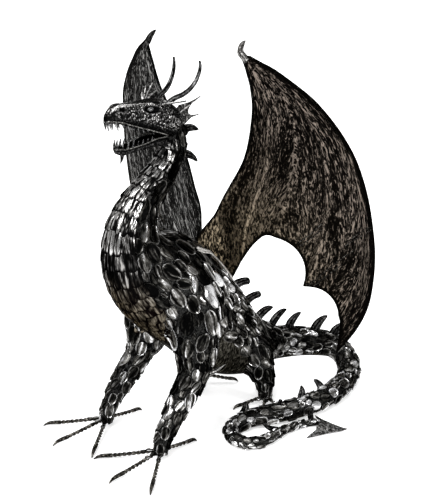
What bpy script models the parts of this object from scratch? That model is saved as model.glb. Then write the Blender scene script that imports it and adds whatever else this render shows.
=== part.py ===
"""A dragon of welded steel, crouched with its wings raised.

Metres, +Z up. The dragon faces -Y and its left side is +X. It is modelled about its own midplane and
then moved as a whole, so that the origin lies on the floor under the middle of its bounding box.
"""

import math

import bmesh
import bpy
from mathutils import Matrix, Vector

# Driving sizes.
SHEET = 0.004  # thickness of the wing sheet
FRONT_ANKLE = (0.167, -0.325, 0.042)
REAR_ANKLE = (0.127, 0.268, 0.042)
REAR_ANKLE_RIGHT = (0.204, 0.209, 0.042)
TOE_BAR = 0.0076  # outer radius of the twisted pair of rods in a toe
FRONT_TOE = 0.251  # reach of a front toe, from the ankle
REAR_TOE = 0.150
GAP = 0.0004  # clearance that a welded-on piece keeps to what it meets

BODY_SIDES = 18
LIMB_SIDES = 12
TAIL_SIDES = 10

# Middle line of trunk and neck in the midplane, from the nape to the rump:
# y, z, half width across X, half depth.
TRUNK = (
    (-0.104, 1.190, 0.038, 0.050),
    (-0.100, 1.120, 0.040, 0.050),
    (-0.141, 1.050, 0.045, 0.050),
    (-0.212, 0.985, 0.056, 0.058),
    (-0.278, 0.912, 0.074, 0.076),
    (-0.308, 0.830, 0.096, 0.098),
    (-0.290, 0.745, 0.134, 0.136),
    (-0.220, 0.660, 0.164, 0.186),
    (-0.093, 0.552, 0.168, 0.194),
    (0.024, 0.424, 0.161, 0.188),
    (0.132, 0.311, 0.149, 0.171),
    (0.242, 0.235, 0.127, 0.138),
    (0.350, 0.200, 0.098, 0.098),
    (0.435, 0.184, 0.076, 0.076),
)

# Shoulder to ankle and hip to ankle of the left side: x, y, z, radius.
FRONT_LEG = (
    (0.088, -0.125, 0.640, 0.070),
    (0.112, -0.120, 0.540, 0.096),
    (0.139, -0.128, 0.430, 0.095),
    (0.151, -0.138, 0.345, 0.077),
    (0.156, -0.152, 0.285, 0.057),
    (0.159, -0.188, 0.232, 0.051),
    (0.162, -0.240, 0.175, 0.0455),
    (0.165, -0.287, 0.118, 0.0365),
    (0.167, -0.319, 0.068, 0.030),
    (0.167, -0.327, 0.042, 0.0265),
    (0.167, -0.328, 0.018, 0.0260),
)
REAR_LEG = (
    (0.078, 0.238, 0.270, 0.075),
    (0.106, 0.232, 0.212, 0.068),
    (0.124, 0.244, 0.155, 0.053),
    (0.128, 0.262, 0.105, 0.040),
    (0.127, 0.268, 0.065, 0.031),
    (0.127, 0.268, 0.040, 0.0265),
    (0.127, 0.268, 0.018, 0.0250),
)
# The right rear foot is set wider and further forward; x is counted outward.
REAR_LEG_RIGHT = (
    (0.086, 0.236, 0.270, 0.075),
    (0.126, 0.224, 0.212, 0.067),
    (0.164, 0.214, 0.155, 0.052),
    (0.191, 0.209, 0.105, 0.039),
    (0.203, 0.209, 0.065, 0.030),
    (0.204, 0.209, 0.040, 0.0260),
    (0.204, 0.209, 0.018, 0.0245),
)

# Middle line of the tail, which swings round behind, lies down on the left and loops back:
# x, y, radius. Where it lies on the floor its height is its radius.
TAIL_DROP = (
    (0.000, 0.415, 0.177, 0.075),
    (0.008, 0.500, 0.162, 0.073),
    (0.026, 0.584, 0.144, 0.067),
    (0.052, 0.664, 0.122, 0.061),
    (0.090, 0.728, 0.101, 0.055),
    (0.144, 0.745, 0.077, 0.050),
    (0.204, 0.713, 0.054, 0.048),
)
TAIL_LYING = (
    (0.257, 0.646, 0.0460),
    (0.298, 0.555, 0.0445),
    (0.317, 0.461, 0.0435),
    (0.321, 0.366, 0.0430),
    (0.307, 0.268, 0.0415),
    (0.275, 0.176, 0.0400),
    (0.238, 0.096, 0.0375),
    (0.219, 0.022, 0.0340),
    (0.234, -0.038, 0.0290),
    (0.288, -0.064, 0.0258),
    (0.345, -0.050, 0.0238),
    (0.368, 0.008, 0.0222),
    (0.367, 0.074, 0.0203),
    (0.359, 0.143, 0.0184),
    (0.368, 0.204, 0.0167),
    (0.385, 0.251, 0.0151),
    (0.406, 0.284, 0.0135),
)


def clear_scene():
    for obj in list(bpy.data.objects):
        bpy.data.objects.remove(obj, do_unlink=True)


def new_collection(name):
    group = bpy.data.collections.new(name)
    bpy.context.scene.collection.children.link(group)
    return group


clear_scene()
DRAGON = new_collection("dragon_statue")
CUTTERS = new_collection("cutters")


def steel(name, colour, roughness, metallic=0.9):
    material = bpy.data.materials.new(name)
    material.use_nodes = True
    shader = material.node_tree.nodes["Principled BSDF"]
    shader.inputs["Base Color"].default_value = (*colour, 1.0)
    shader.inputs["Roughness"].default_value = roughness
    shader.inputs["Metallic"].default_value = metallic
    return material


SKIN = steel("skin_steel", (0.11, 0.11, 0.115), 0.38)
SHEET_STEEL = steel("wing_steel", (0.13, 0.11, 0.09), 0.45)
BAR = steel("bar_steel", (0.05, 0.05, 0.052), 0.42)
HEAD_STEEL = steel("head_steel", (0.10, 0.10, 0.105), 0.35)


# ---------------------------------------------------------------- curves and lofts


def smooth_rows(rows, steps):
    """Catmull-Rom through the rows, every column at once, with `steps` spans between two rows."""
    rows = [tuple(row) for row in rows]
    first = tuple(2 * a - b for a, b in zip(rows[0], rows[1]))
    last = tuple(2 * a - b for a, b in zip(rows[-1], rows[-2]))
    padded = [first, *rows, last]
    out = []
    for i in range(len(rows) - 1):
        p0, p1, p2, p3 = padded[i : i + 4]
        for k in range(steps):
            t = k / steps
            out.append(
                tuple(
                    b
                    + 0.5 * t * (c - a + t * (2 * a - 5 * b + 4 * c - d + t * (3 * b - a - 3 * c + d)))
                    for a, b, c, d in zip(p0, p1, p2, p3)
                )
            )
    out.append(rows[-1])
    return out


def frames(points, reference):
    """At each point: the tangent, the reference made square to it, and the third axis."""
    result = []
    for i, point in enumerate(points):
        ahead = points[min(i + 1, len(points) - 1)]
        behind = points[max(i - 1, 0)]
        tangent = (ahead - behind).normalized()
        first = (reference - tangent * reference.dot(tangent)).normalized()
        result.append((point, tangent, first, tangent.cross(first)))
    return result


def ellipse_ring(point, first, second, a, b, sides):
    ring = []
    for k in range(sides):
        angle = 2 * math.pi * k / sides
        ring.append(point + first * (a * math.cos(angle)) + second * (b * math.sin(angle)))
    return ring


def skin(name, rings, material, group=None):
    """A closed body over rings of the same count: quads between them and a flat face at both ends."""
    bm = bmesh.new()
    rows = [[bm.verts.new(point) for point in ring] for ring in rings]
    count = len(rows[0])
    for near, far in zip(rows, rows[1:]):
        for k in range(count):
            nxt = (k + 1) % count
            bm.faces.new((near[k], near[nxt], far[nxt], far[k]))
    bm.faces.new(rows[0][::-1])
    bm.faces.new(rows[-1])
    return finish(bm, name, material, group)


def finish(bm, name, material, group=None):
    """Turns a bmesh into an object of the statue, or into a hidden helper."""
    bmesh.ops.remove_doubles(bm, verts=bm.verts, dist=1e-6)
    bmesh.ops.recalc_face_normals(bm, faces=bm.faces)
    mesh = bpy.data.meshes.new(name)
    bm.to_mesh(mesh)
    bm.free()
    mesh.materials.append(material)
    mesh.shade_smooth()
    mesh.set_sharp_from_angle(angle=math.radians(50))
    obj = bpy.data.objects.new(name, mesh)
    (group or DRAGON).objects.link(obj)
    if group is CUTTERS:
        obj.hide_render = True
        obj.display_type = "WIRE"
    return obj


def taper_bar(name, rows, material, sides=8):
    """A round bar along rows of x, y, z, radius, made of a curve with a bevel and filled caps."""
    curve = bpy.data.curves.new(name, "CURVE")
    curve.dimensions = "3D"
    curve.bevel_depth = 1.0
    curve.bevel_resolution = (sides - 4) // 2
    curve.use_fill_caps = True
    line = curve.splines.new("POLY")
    line.points.add(len(rows) - 1)
    for point, (x, y, z, radius) in zip(line.points, rows):
        point.co = (x, y, z, 1.0)
        point.radius = radius
    guide = bpy.data.objects.new(name + "_line", curve)
    CUTTERS.objects.link(guide)
    bpy.context.view_layer.update()
    graph = bpy.context.evaluated_depsgraph_get()
    mesh = bpy.data.meshes.new_from_object(guide.evaluated_get(graph))
    bm = bmesh.new()
    bm.from_mesh(mesh)
    bpy.data.objects.remove(guide, do_unlink=True)
    return finish(bm, name, material)


def boolean(obj, other, operation):
    modifier = obj.modifiers.new(operation.lower() + "_" + other.name, "BOOLEAN")
    modifier.operation = operation
    modifier.object = other
    modifier.solver = "EXACT"
    return modifier


def mirrored(rows):
    return tuple((-row[0], *row[1:]) for row in rows)


# ---------------------------------------------------------------- trunk, legs and tail


def make_body():
    """Neck, trunk, four legs and tail: one welded skin."""
    rows = smooth_rows(TRUNK, 2)
    points = [Vector((0.0, y, z)) for y, z, _, _ in rows]
    across = Vector((1, 0, 0))
    rings = [
        ellipse_ring(point, first, second, row[2], row[3], BODY_SIDES)
        for row, (point, _, first, second) in zip(rows, frames(points, across))
    ]
    body = skin("body", rings, SKIN)

    limbs = []
    limbs.append(limb("front_leg_left", FRONT_LEG))
    limbs.append(limb("rear_leg_left", REAR_LEG))
    limbs.append(limb("front_leg_right", mirrored(FRONT_LEG)))
    limbs.append(limb("rear_leg_right", mirrored(REAR_LEG_RIGHT)))
    limbs.append(tail())
    for part in limbs:
        boolean(body, part, "UNION")
    return body


def limb(name, rows):
    rows = smooth_rows(rows, 2)
    points = [Vector(row[:3]) for row in rows]
    rings = [
        ellipse_ring(point, first, second, row[3], row[3], LIMB_SIDES)
        for row, (point, _, first, second) in zip(rows, frames(points, Vector((1, 0, 0))))
    ]
    return skin(name, rings, SKIN, CUTTERS)


def tail_rows():
    lying = [(x, y, radius, radius) for x, y, radius in TAIL_LYING]
    return smooth_rows([*TAIL_DROP, *lying], 2)


def tail():
    rows = tail_rows()
    points = [Vector(row[:3]) for row in rows]
    rings = [
        ellipse_ring(point, first, second, row[3], row[3], TAIL_SIDES)
        for row, (point, _, first, second) in zip(rows, frames(points, Vector((0, 0, 1))))
    ]
    return skin("tail", rings, SKIN, CUTTERS)


def clearance_copy(obj, name):
    """The finished surface of a piece, swollen by the gap, to cut what is welded onto it."""
    bpy.context.view_layer.update()
    graph = bpy.context.evaluated_depsgraph_get()
    mesh = bpy.data.meshes.new_from_object(obj.evaluated_get(graph))
    bm = bmesh.new()
    bm.from_mesh(mesh)
    bmesh.ops.remove_doubles(bm, verts=bm.verts, dist=1e-6)
    bm.normal_update()
    shifts = [(vert, vert.normal * (1.5 * GAP)) for vert in bm.verts]
    for vert, shift in shifts:
        vert.co += shift
    return finish(bm, name, SKIN, CUTTERS)


# ---------------------------------------------------------------- wings

# Outline of the left wing as x, z; its place along Y follows from wing_y.
LEADING_EDGE = (
    (0.253, 1.456),
    (0.257, 1.400),
    (0.258, 1.340),
    (0.249, 1.270),
    (0.227, 1.200),
    (0.195, 1.120),
    (0.158, 1.040),
    (0.110, 0.958),
    (0.058, 0.872),
    (0.024, 0.800),
    (0.009, 0.730),
    (0.004, 0.640),
)
OUTER_EDGE = (
    (0.285, 1.456),
    (0.365, 1.418),
    (0.430, 1.374),
    (0.495, 1.324),
    (0.548, 1.264),
    (0.596, 1.194),
    (0.634, 1.118),
    (0.662, 1.020),
    (0.677, 0.910),
    (0.682, 0.800),
    (0.671, 0.690),
    (0.645, 0.580),
    (0.595, 0.478),
    (0.520, 0.372),
)
ROOT_LINE = ((0.004, 0.640), (0.040, 0.596), (0.072, 0.560))
FIRST_ARCH = (
    (0.072, 0.560),
    (0.119, 0.637),
    (0.170, 0.712),
    (0.220, 0.766),
    (0.256, 0.789),
    (0.302, 0.786),
    (0.347, 0.773),
    (0.379, 0.750),
    (0.400, 0.712),
    (0.404, 0.668),
    (0.393, 0.612),
)
SECOND_ARCH = (
    (0.393, 0.612),
    (0.425, 0.615),
    (0.458, 0.615),
    (0.490, 0.603),
    (0.514, 0.578),
    (0.528, 0.540),
    (0.532, 0.489),
    (0.522, 0.425),
    (0.508, 0.362),
)
ROOT_COLUMNS = 2
FIRST_COLUMNS = 9
SECOND_COLUMNS = 7
WING_ROWS = 12
RIGHT_WING_SAG = 0.135  # how much lower the right wing's first arch was cut
# Bulges of the right wing's outline: height, share of the width (0 leading edge, 1 outer edge), shift
# across X, spread of the height.
RIGHT_WING_BULGES = (
    (0.975, 0, -0.035, 0.085),
    (0.860, 0, -0.020, 0.060),
    (1.215, 0, -0.020, 0.060),
    (1.225, 1, 0.022, 0.090),
)


def ease(t):
    t = min(1.0, max(0.0, t))
    return t * t * (3 - 2 * t)


def wing_y(x, z):
    """The sheet leans back as it spreads. Its top and its root curl forward."""
    lean = 0.187 + 0.222 * x - 0.147 * z
    wrist_curl = 0.040 * max(0.0, (z - 1.15) / 0.31) ** 2
    root_curl = 0.100 * math.exp(-((x / 0.034) ** 2)) * ease((0.875 - z) / 0.15)
    hollow = 0.020 * math.exp(-(((x - 0.17) / 0.12) ** 2) - ((z - 1.08) / 0.13) ** 2)
    return lean - wrist_curl - root_curl + hollow


def along(rows, share):
    """The point of a smooth open line at a share of its length."""
    dense = smooth_rows(rows, 8)
    lengths = [0.0]
    for a, b in zip(dense, dense[1:]):
        lengths.append(lengths[-1] + math.dist(a, b))
    goal = share * lengths[-1]
    for i in range(1, len(dense)):
        if lengths[i] >= goal:
            span = lengths[i] - lengths[i - 1]
            t = 0.0 if span == 0 else (goal - lengths[i - 1]) / span
            return tuple(a + (b - a) * t for a, b in zip(dense[i - 1], dense[i]))
    return dense[-1]


def lowered(point, sag):
    """A point of the trailing edge, let down the more the higher it is above the lower tip."""
    x, z = point
    foot = SECOND_ARCH[-1][1]
    return (x, z - sag * (z - foot) / (FIRST_ARCH[4][1] - foot))


def wing_grid(sag):
    """The wing's x, z points in rows from the wrist to the trailing edge: a patch in four edges."""
    bottom = []
    lines = (ROOT_LINE, FIRST_ARCH, SECOND_ARCH)
    for line, count in zip(lines, (ROOT_COLUMNS, FIRST_COLUMNS, SECOND_COLUMNS)):
        bottom += [lowered(along(line, k / count), sag) for k in range(count)]
    bottom.append(SECOND_ARCH[-1])
    columns = len(bottom) - 1
    left = [along(LEADING_EDGE, k / WING_ROWS) for k in range(WING_ROWS + 1)]
    right = [along((*OUTER_EDGE, SECOND_ARCH[-1]), k / WING_ROWS) for k in range(WING_ROWS + 1)]
    grid = []
    for r in range(WING_ROWS + 1):
        v = r / WING_ROWS
        row = []
        for c in range(columns + 1):
            u = c / columns
            point = []
            for axis in range(2):
                top = left[0][axis] * (1 - u) + right[0][axis] * u
                sides = left[r][axis] * (1 - u) + right[r][axis] * u
                ends = top * (1 - v) + bottom[c][axis] * v
                corners = top * (1 - v) + (left[-1][axis] * (1 - u) + right[-1][axis] * u) * v
                point.append(sides + ends - corners)
            row.append(tuple(point))
        grid.append(row)
    return grid


def bulged(x, z, u, bulges):
    for height, edge, shift, spread in bulges:
        near = u if edge == 1 else 1 - u
        x += shift * near * math.exp(-(((z - height) / spread) ** 2))
    return x


def make_wing(side, mark, sag, bulges):
    grid = wing_grid(sag)
    bm = bmesh.new()
    columns = len(grid[0]) - 1
    bmesh.ops.create_grid(bm, x_segments=WING_ROWS, y_segments=columns, size=0.5)
    for vert in bm.verts:
        r = round((vert.co.x + 0.5) * WING_ROWS)
        c = round((vert.co.y + 0.5) * columns)
        x, z = grid[r][c]
        x = bulged(x, z, c / columns, bulges)
        vert.co = (side * x, wing_y(x, z), z)
    wing = finish(bm, "wing_" + mark, SHEET_STEEL)
    sheet = wing.modifiers.new("thickness", "SOLIDIFY")
    sheet.thickness = SHEET
    sheet.offset = 0.0
    boolean(wing, body_clear, "DIFFERENCE")
    return wing


WING_CLAW = (
    (0.272, -0.003, 1.440, 0.0125),
    (0.260, -0.008, 1.452, 0.0130),
    (0.247, -0.009, 1.462, 0.0125),
    (0.240, -0.003, 1.480, 0.0110),
    (0.238, 0.010, 1.495, 0.0080),
    (0.237, 0.024, 1.502, 0.0028),
)


def make_wing_claw(side, mark, wing):
    """The hooked claw on the wrist, which ends the leading edge."""
    rows = WING_CLAW if side == 1 else mirrored(WING_CLAW)
    claw = taper_bar("wing_claw_" + mark, smooth_rows(rows, 1), BAR)
    boolean(claw, clearance_copy(wing, "wing_clearance_" + mark), "DIFFERENCE")
    return claw


# ---------------------------------------------------------------- toes


def make_toes():
    front = ((41, 1.0), (2, 1.0), (-40, 1.0), (180, 0.70))
    rear_left = ((-16, 1.0), (40, 1.0), (84, 0.82), (232, 0.80))
    rear_right = ((-24, 0.90), (16, 0.80), (56, 0.64), (229, 1.08))
    rears = ((1, "left", REAR_ANKLE, rear_left), (-1, "right", REAR_ANKLE_RIGHT, rear_right))
    for side, mark, rear_ankle, rear in rears:
        feet = (("front", FRONT_ANKLE, FRONT_TOE, front), ("rear", rear_ankle, REAR_TOE, rear))
        for end, ankle, reach, toes in feet:
            for number, (turn, share) in enumerate(toes, 1):
                make_toe(f"{end}_{mark}_toe_{number}", side, ankle, reach * share, turn)


def make_toe(name, side, ankle, reach, turn):
    """A bar out of the ankle that slopes down and hooks over into a claw on the floor."""
    outward = math.sin(math.radians(turn))
    forward = math.cos(math.radians(turn))
    profile = (
        (0.05, 0.74, 0.92),
        (0.25, 0.62, 1.05),
        (0.50, 0.48, 1.00),
        (0.72, 0.38, 0.95),
        (0.85, 0.36, 0.90),
        (0.93, 0.28, 0.70),
        (1.00, 0.00, 0.25),
    )
    rows = []
    for share, height, thick in profile:
        r = reach * share
        x = side * (ankle[0] + outward * r)
        y = ankle[1] - forward * r
        rows.append((x, y, max(height * ankle[2], thick * TOE_BAR), thick * TOE_BAR))
    toe = taper_bar(name, smooth_rows(rows, 1), BAR, sides=6)
    boolean(toe, body_clear, "DIFFERENCE")
    return toe


# ---------------------------------------------------------------- head

# Sections of skull and upper jaw from the snout back: y, underside, top, half width.
SKULL = (
    (-0.403, 1.244, 1.256, 0.009),
    (-0.397, 1.241, 1.269, 0.015),
    (-0.380, 1.239, 1.286, 0.022),
    (-0.354, 1.234, 1.298, 0.029),
    (-0.325, 1.223, 1.297, 0.033),
    (-0.285, 1.209, 1.295, 0.038),
    (-0.250, 1.197, 1.298, 0.045),
    (-0.210, 1.183, 1.301, 0.052),
    (-0.170, 1.168, 1.297, 0.053),
    (-0.130, 1.156, 1.280, 0.049),
    (-0.098, 1.163, 1.256, 0.040),
    (-0.080, 1.185, 1.232, 0.024),
)
# The same for the lower jaw, from its hinge under the skull forward to the chin.
JAW = (
    (-0.165, 1.128, 1.172, 0.044),
    (-0.215, 1.133, 1.170, 0.043),
    (-0.260, 1.132, 1.160, 0.039),
    (-0.305, 1.127, 1.153, 0.033),
    (-0.336, 1.122, 1.149, 0.026),
    (-0.357, 1.127, 1.150, 0.018),
    (-0.367, 1.136, 1.149, 0.008),
)
HEAD_SIDES = 14
BROW_POWER = 0.80  # below 1 squares the section: flat cheeks, a flat forehead


def section_ring(y, low, high, half):
    middle = (low + high) / 2
    ring = []
    for k in range(HEAD_SIDES):
        angle = 2 * math.pi * (k + 0.5) / HEAD_SIDES
        across, rise = math.cos(angle), math.sin(angle)
        x = half * math.copysign(abs(across) ** BROW_POWER, across)
        z = (high - low) / 2 * math.copysign(abs(rise) ** BROW_POWER, rise)
        ring.append(Vector((x, y, middle + z)))
    return ring


def make_head():
    head = skin("head", [section_ring(*row) for row in SKULL], HEAD_STEEL)
    boolean(head, body_clear, "DIFFERENCE")
    return head


def make_jaw():
    jaw = skin("lower_jaw", [section_ring(*row) for row in JAW], HEAD_STEEL)
    boolean(jaw, body_clear, "DIFFERENCE")
    boolean(jaw, head_clear, "DIFFERENCE")
    return jaw


HORN = (
    (0.030, -0.162, 1.276, 0.0100),
    (0.040, -0.136, 1.296, 0.0095),
    (0.050, -0.100, 1.309, 0.0086),
    (0.058, -0.072, 1.327, 0.0083),
    (0.064, -0.051, 1.352, 0.0076),
    (0.068, -0.038, 1.380, 0.0067),
    (0.070, -0.034, 1.403, 0.0054),
    (0.069, -0.036, 1.422, 0.0034),
)


def make_horn(side, mark):
    rows = HORN if side == 1 else mirrored(HORN)
    horn = taper_bar("horn_" + mark, smooth_rows(rows, 1), BAR)
    boolean(horn, head_clear, "DIFFERENCE")
    return horn


def plate(name, outline, half_thickness, origin, u_axis, v_axis, material):
    """A flat outline, given along two axes from an origin, as thick as a plate."""
    curve = bpy.data.curves.new(name, "CURVE")
    curve.dimensions = "2D"
    curve.fill_mode = "BOTH"
    curve.extrude = half_thickness
    line = curve.splines.new("POLY")
    line.points.add(len(outline) - 1)
    for point, (u, v) in zip(line.points, outline):
        point.co = (u, v, 0.0, 1.0)
    line.use_cyclic_u = True
    guide = bpy.data.objects.new(name + "_outline", curve)
    CUTTERS.objects.link(guide)
    bpy.context.view_layer.update()
    mesh = bpy.data.meshes.new_from_object(guide.evaluated_get(bpy.context.evaluated_depsgraph_get()))
    bpy.data.objects.remove(guide, do_unlink=True)
    u_axis = Vector(u_axis).normalized()
    normal = u_axis.cross(Vector(v_axis)).normalized()
    placed = Matrix((u_axis, normal.cross(u_axis), normal)).transposed().to_4x4()
    placed.translation = origin
    mesh.transform(placed)
    bm = bmesh.new()
    bm.from_mesh(mesh)
    return finish(bm, name, material)


# The ear fans: length along the skull, height above the root.
EAR = (
    (-0.004, -0.014),
    (0.004, 0.006),
    (0.026, 0.030),
    (0.052, 0.048),
    (0.086, 0.055),
    (0.094, 0.030),
    (0.090, -0.010),
)


def make_ear(side, mark, lift):
    """A ribbed fan behind the brow. The left one is bent lower than the right one."""
    root = (side * 0.051, -0.216, 1.284)
    out = (side * math.cos(lift), 0.0, math.sin(lift))
    ear = plate("ear_" + mark, EAR, 0.0025, root, (0, 1, 0), out, HEAD_STEEL)
    boolean(ear, head_clear, "DIFFERENCE")
    horn = bpy.data.objects["horn_" + mark]
    boolean(ear, clearance_copy(horn, "horn_clearance_" + mark), "DIFFERENCE")
    return ear


# The webbed fin behind the skull, as y, z.
NAPE_FIN = (
    (-0.125, 1.262),
    (-0.075, 1.262),
    (-0.030, 1.266),
    (0.030, 1.282),
    (-0.012, 1.262),
    (-0.030, 1.242),
    (-0.030, 1.224),
    (0.020, 1.216),
    (-0.020, 1.211),
    (-0.036, 1.199),
    (-0.050, 1.189),
    (-0.125, 1.189),
)


def make_nape_fin():
    fin = plate("nape_fin", NAPE_FIN, 0.0025, (0, 0, 0), (0, 1, 0), (0, 0, 1), HEAD_STEEL)
    boolean(fin, head_clear, "DIFFERENCE")
    boolean(fin, body_clear, "DIFFERENCE")
    return fin


def make_chin_spike():
    rows = (
        (0, -0.338, 1.134, 0.0070),
        (0, -0.336, 1.120, 0.0060),
        (0, -0.338, 1.106, 0.0044),
        (0, -0.345, 1.091, 0.0016),
    )
    spike = taper_bar("chin_spike", rows, BAR)
    boolean(spike, clearance_copy(bpy.data.objects["lower_jaw"], "jaw_clearance"), "DIFFERENCE")
    return spike


def make_elbow_spur(side, mark):
    rows = (
        (0.140, -0.110, 0.252, 0.0125),
        (0.148, -0.078, 0.254, 0.0110),
        (0.160, -0.040, 0.262, 0.0075),
        (0.172, -0.003, 0.279, 0.0018),
    )
    rows = rows if side == 1 else mirrored(rows)
    spur = taper_bar("elbow_spur_" + mark, smooth_rows(rows, 1), BAR)
    boolean(spur, body_clear, "DIFFERENCE")
    return spur


# ---------------------------------------------------------------- spikes and tail point

# Spikes on nape and back, in the midplane: root y, z, tip y, z, width of the root.
BACK_SPIKES = (
    ("nape_spike_1", -0.062, 1.168, 0.020, 1.160, 0.034),
    ("nape_spike_2", -0.072, 1.084, 0.014, 1.041, 0.034),
    ("back_spike_1", 0.196, 0.488, 0.298, 0.493, 0.050),
    ("back_spike_2", 0.262, 0.400, 0.364, 0.419, 0.050),
    ("back_spike_3", 0.338, 0.310, 0.438, 0.340, 0.052),
    ("back_spike_4", 0.430, 0.258, 0.523, 0.307, 0.052),
)
SPIKE_THICK = 0.014


def spike(name, root, tip, fore, width, bend=0.22):
    """A folded plate that narrows and bends over to its tip. `fore` runs along the body under it."""
    root, tip = Vector(root), Vector(tip)
    axis = tip - root
    reach = axis.length
    fore = (fore - axis * (fore.dot(axis) / reach**2)).normalized()
    across = axis.cross(fore).normalized()
    rings = []
    for share, wide in ((-0.18, 1.05), (0.14, 1.0), (0.45, 0.84), (0.76, 0.58), (1.0, 0.24)):
        bow = bend * reach * 4 * share * (1 - share) * 0.5
        point = root + axis * share - fore * bow
        half_thick = wide * SPIKE_THICK / 2 + 0.001
        rings.append(ellipse_ring(point, fore, across, wide * width / 2, half_thick, 8))
    obj = skin(name, rings, BAR)
    boolean(obj, body_clear, "DIFFERENCE")
    return obj


def make_back_spikes():
    for name, y0, z0, y1, z1, width in BACK_SPIKES:
        down = Vector((0, 0, -1)) if z0 > 0.7 else Vector((0, 0.75, -0.65))
        obj = spike(name, (0, y0, z0), (0, y1, z1), down, width)
        if name == "nape_spike_1":
            boolean(obj, head_clear, "DIFFERENCE")
            boolean(obj, clearance_copy(bpy.data.objects["nape_fin"], "fin_clearance"), "DIFFERENCE")


# Spikes along the tail: row of the tail, lean to the right of its run in degrees, reach, root width,
# and how far the tip is drawn along the run.
TAIL_SPIKES = (
    ("back_spike_5", 1.15, 0, 0.062, 0.050, 0.052),
    ("back_spike_6", 2.70, 0, 0.068, 0.052, 0.045),
    ("back_spike_7", 3.85, 0, 0.062, 0.048, 0.040),
    ("tail_spike_1", 9.30, 50, 0.043, 0.042, 0.004),
    ("tail_spike_2", 10.70, 30, 0.040, 0.036, -0.018),
    ("tail_spike_3", 11.80, 5, 0.017, 0.026, 0.000),
    ("tail_spike_4", 13.48, 30, 0.034, 0.034, -0.016),
    ("tail_spike_5", 19.40, -62, 0.046, 0.028, -0.030),
    ("tail_spike_6", 22.20, -15, 0.046, 0.026, 0.006),
)


def make_tail_spikes():
    rows = tail_rows()
    for name, place, lean, reach, width, draw in TAIL_SPIKES:
        index = int(place * 2)
        part = place * 2 - index
        ahead = (Vector(rows[index + 1][:3]) - Vector(rows[index][:3])).normalized()
        middle = Vector(rows[index][:3]).lerp(Vector(rows[index + 1][:3]), part)
        radius = rows[index][3]
        right = ahead.cross(Vector((0, 0, 1))).normalized()
        lean = math.radians(lean)
        out = right.cross(ahead) * math.cos(lean) + right * math.sin(lean)
        tip = middle + out * (radius + reach) + ahead * draw
        spike(name, middle + out * (radius * 0.9), tip, ahead, width)


# The flat arrow at the end of the tail, along its own axis and across it.
ARROW = ((0.126, 0.0), (-0.012, 0.088), (0.014, 0.030), (0.004, 0.0), (0.010, -0.040), (-0.020, -0.095))


def make_tail_arrow():
    middle = (0.410, 0.257, 0.0085)
    arrow = plate("tail_arrow", ARROW, 0.005, middle, (0.83, 0.55, 0.0), (-0.55, 0.83, 0.0), SKIN)
    boolean(arrow, body_clear, "DIFFERENCE")
    return arrow


# ---------------------------------------------------------------- build

SIDES = ((1, "left"), (-1, "right"))
body = make_body()
body_clear = clearance_copy(body, "body_clearance")
head = make_head()
head_clear = clearance_copy(head, "head_clearance")
make_jaw()
make_chin_spike()
for side, mark in SIDES:
    make_horn(side, mark)
    make_elbow_spur(side, mark)
    sag, bulges = (0.0, ()) if side == 1 else (RIGHT_WING_SAG, RIGHT_WING_BULGES)
    wing = make_wing(side, mark, sag, bulges)
    make_wing_claw(side, mark, wing)
make_ear(1, "left", math.radians(12))
make_ear(-1, "right", math.radians(62))
make_nape_fin()
make_back_spikes()
make_tail_spikes()
make_tail_arrow()
make_toes()


def stand_at_origin():
    """Moves everything so that the middle of the bounding box is over the origin, at z = 0."""
    bpy.context.view_layer.update()
    graph = bpy.context.evaluated_depsgraph_get()
    low = Vector((1e9, 1e9, 1e9))
    high = -low
    for obj in DRAGON.objects:
        for vert in obj.evaluated_get(graph).data.vertices:
            low = Vector(map(min, low, vert.co))
            high = Vector(map(max, high, vert.co))
    statue = bpy.data.objects.new("statue", None)
    statue.empty_display_type = "PLAIN_AXES"
    DRAGON.objects.link(statue)
    for obj in [*DRAGON.objects, *CUTTERS.objects]:
        if obj is not statue:
            obj.parent = statue
    statue.location = (-(low.x + high.x) / 2, -(low.y + high.y) / 2, -low.z)


stand_at_origin()
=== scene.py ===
"""A dragon welded from steel: plated skin, chiselled wings, forged horns, claws and spikes.

The tables are in metres about the dragon's own midplane, and SHIFT takes them to the frame.
"""

import bisect
import itertools
import math
import random

import bmesh
import bpy
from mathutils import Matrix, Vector, noise
from mathutils.bvhtree import BVHTree
from mathutils.kdtree import KDTree


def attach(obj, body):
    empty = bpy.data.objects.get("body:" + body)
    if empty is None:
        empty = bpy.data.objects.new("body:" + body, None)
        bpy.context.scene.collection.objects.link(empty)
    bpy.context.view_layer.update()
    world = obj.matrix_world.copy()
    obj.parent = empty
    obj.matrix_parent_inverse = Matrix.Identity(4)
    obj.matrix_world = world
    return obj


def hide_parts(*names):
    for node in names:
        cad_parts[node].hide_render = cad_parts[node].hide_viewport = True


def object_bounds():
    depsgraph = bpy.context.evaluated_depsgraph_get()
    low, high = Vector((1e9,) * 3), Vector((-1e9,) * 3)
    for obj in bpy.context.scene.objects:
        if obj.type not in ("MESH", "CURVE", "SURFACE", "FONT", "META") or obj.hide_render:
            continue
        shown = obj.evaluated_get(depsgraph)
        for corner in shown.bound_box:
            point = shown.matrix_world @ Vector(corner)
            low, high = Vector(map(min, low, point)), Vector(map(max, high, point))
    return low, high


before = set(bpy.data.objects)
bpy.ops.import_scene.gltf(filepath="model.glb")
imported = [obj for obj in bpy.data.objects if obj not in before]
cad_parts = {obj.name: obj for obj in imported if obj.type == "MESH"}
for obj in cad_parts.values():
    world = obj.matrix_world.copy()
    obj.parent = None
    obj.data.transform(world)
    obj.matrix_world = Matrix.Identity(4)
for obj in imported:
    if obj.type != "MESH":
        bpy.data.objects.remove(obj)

cad_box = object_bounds()
SHIFT = Vector((0.0, -0.1081, 0.0004))
UP = Vector((0, 0, 1))
SIDES = ((1, "left"), (-1, "right"))
rng = random.Random(11)


# ---------------------------------------------------------------- finishes

SHEEN = 0.22  # how bright the metals mirror at a glancing angle
BUMP_STRENGTH = 0.9


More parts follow.
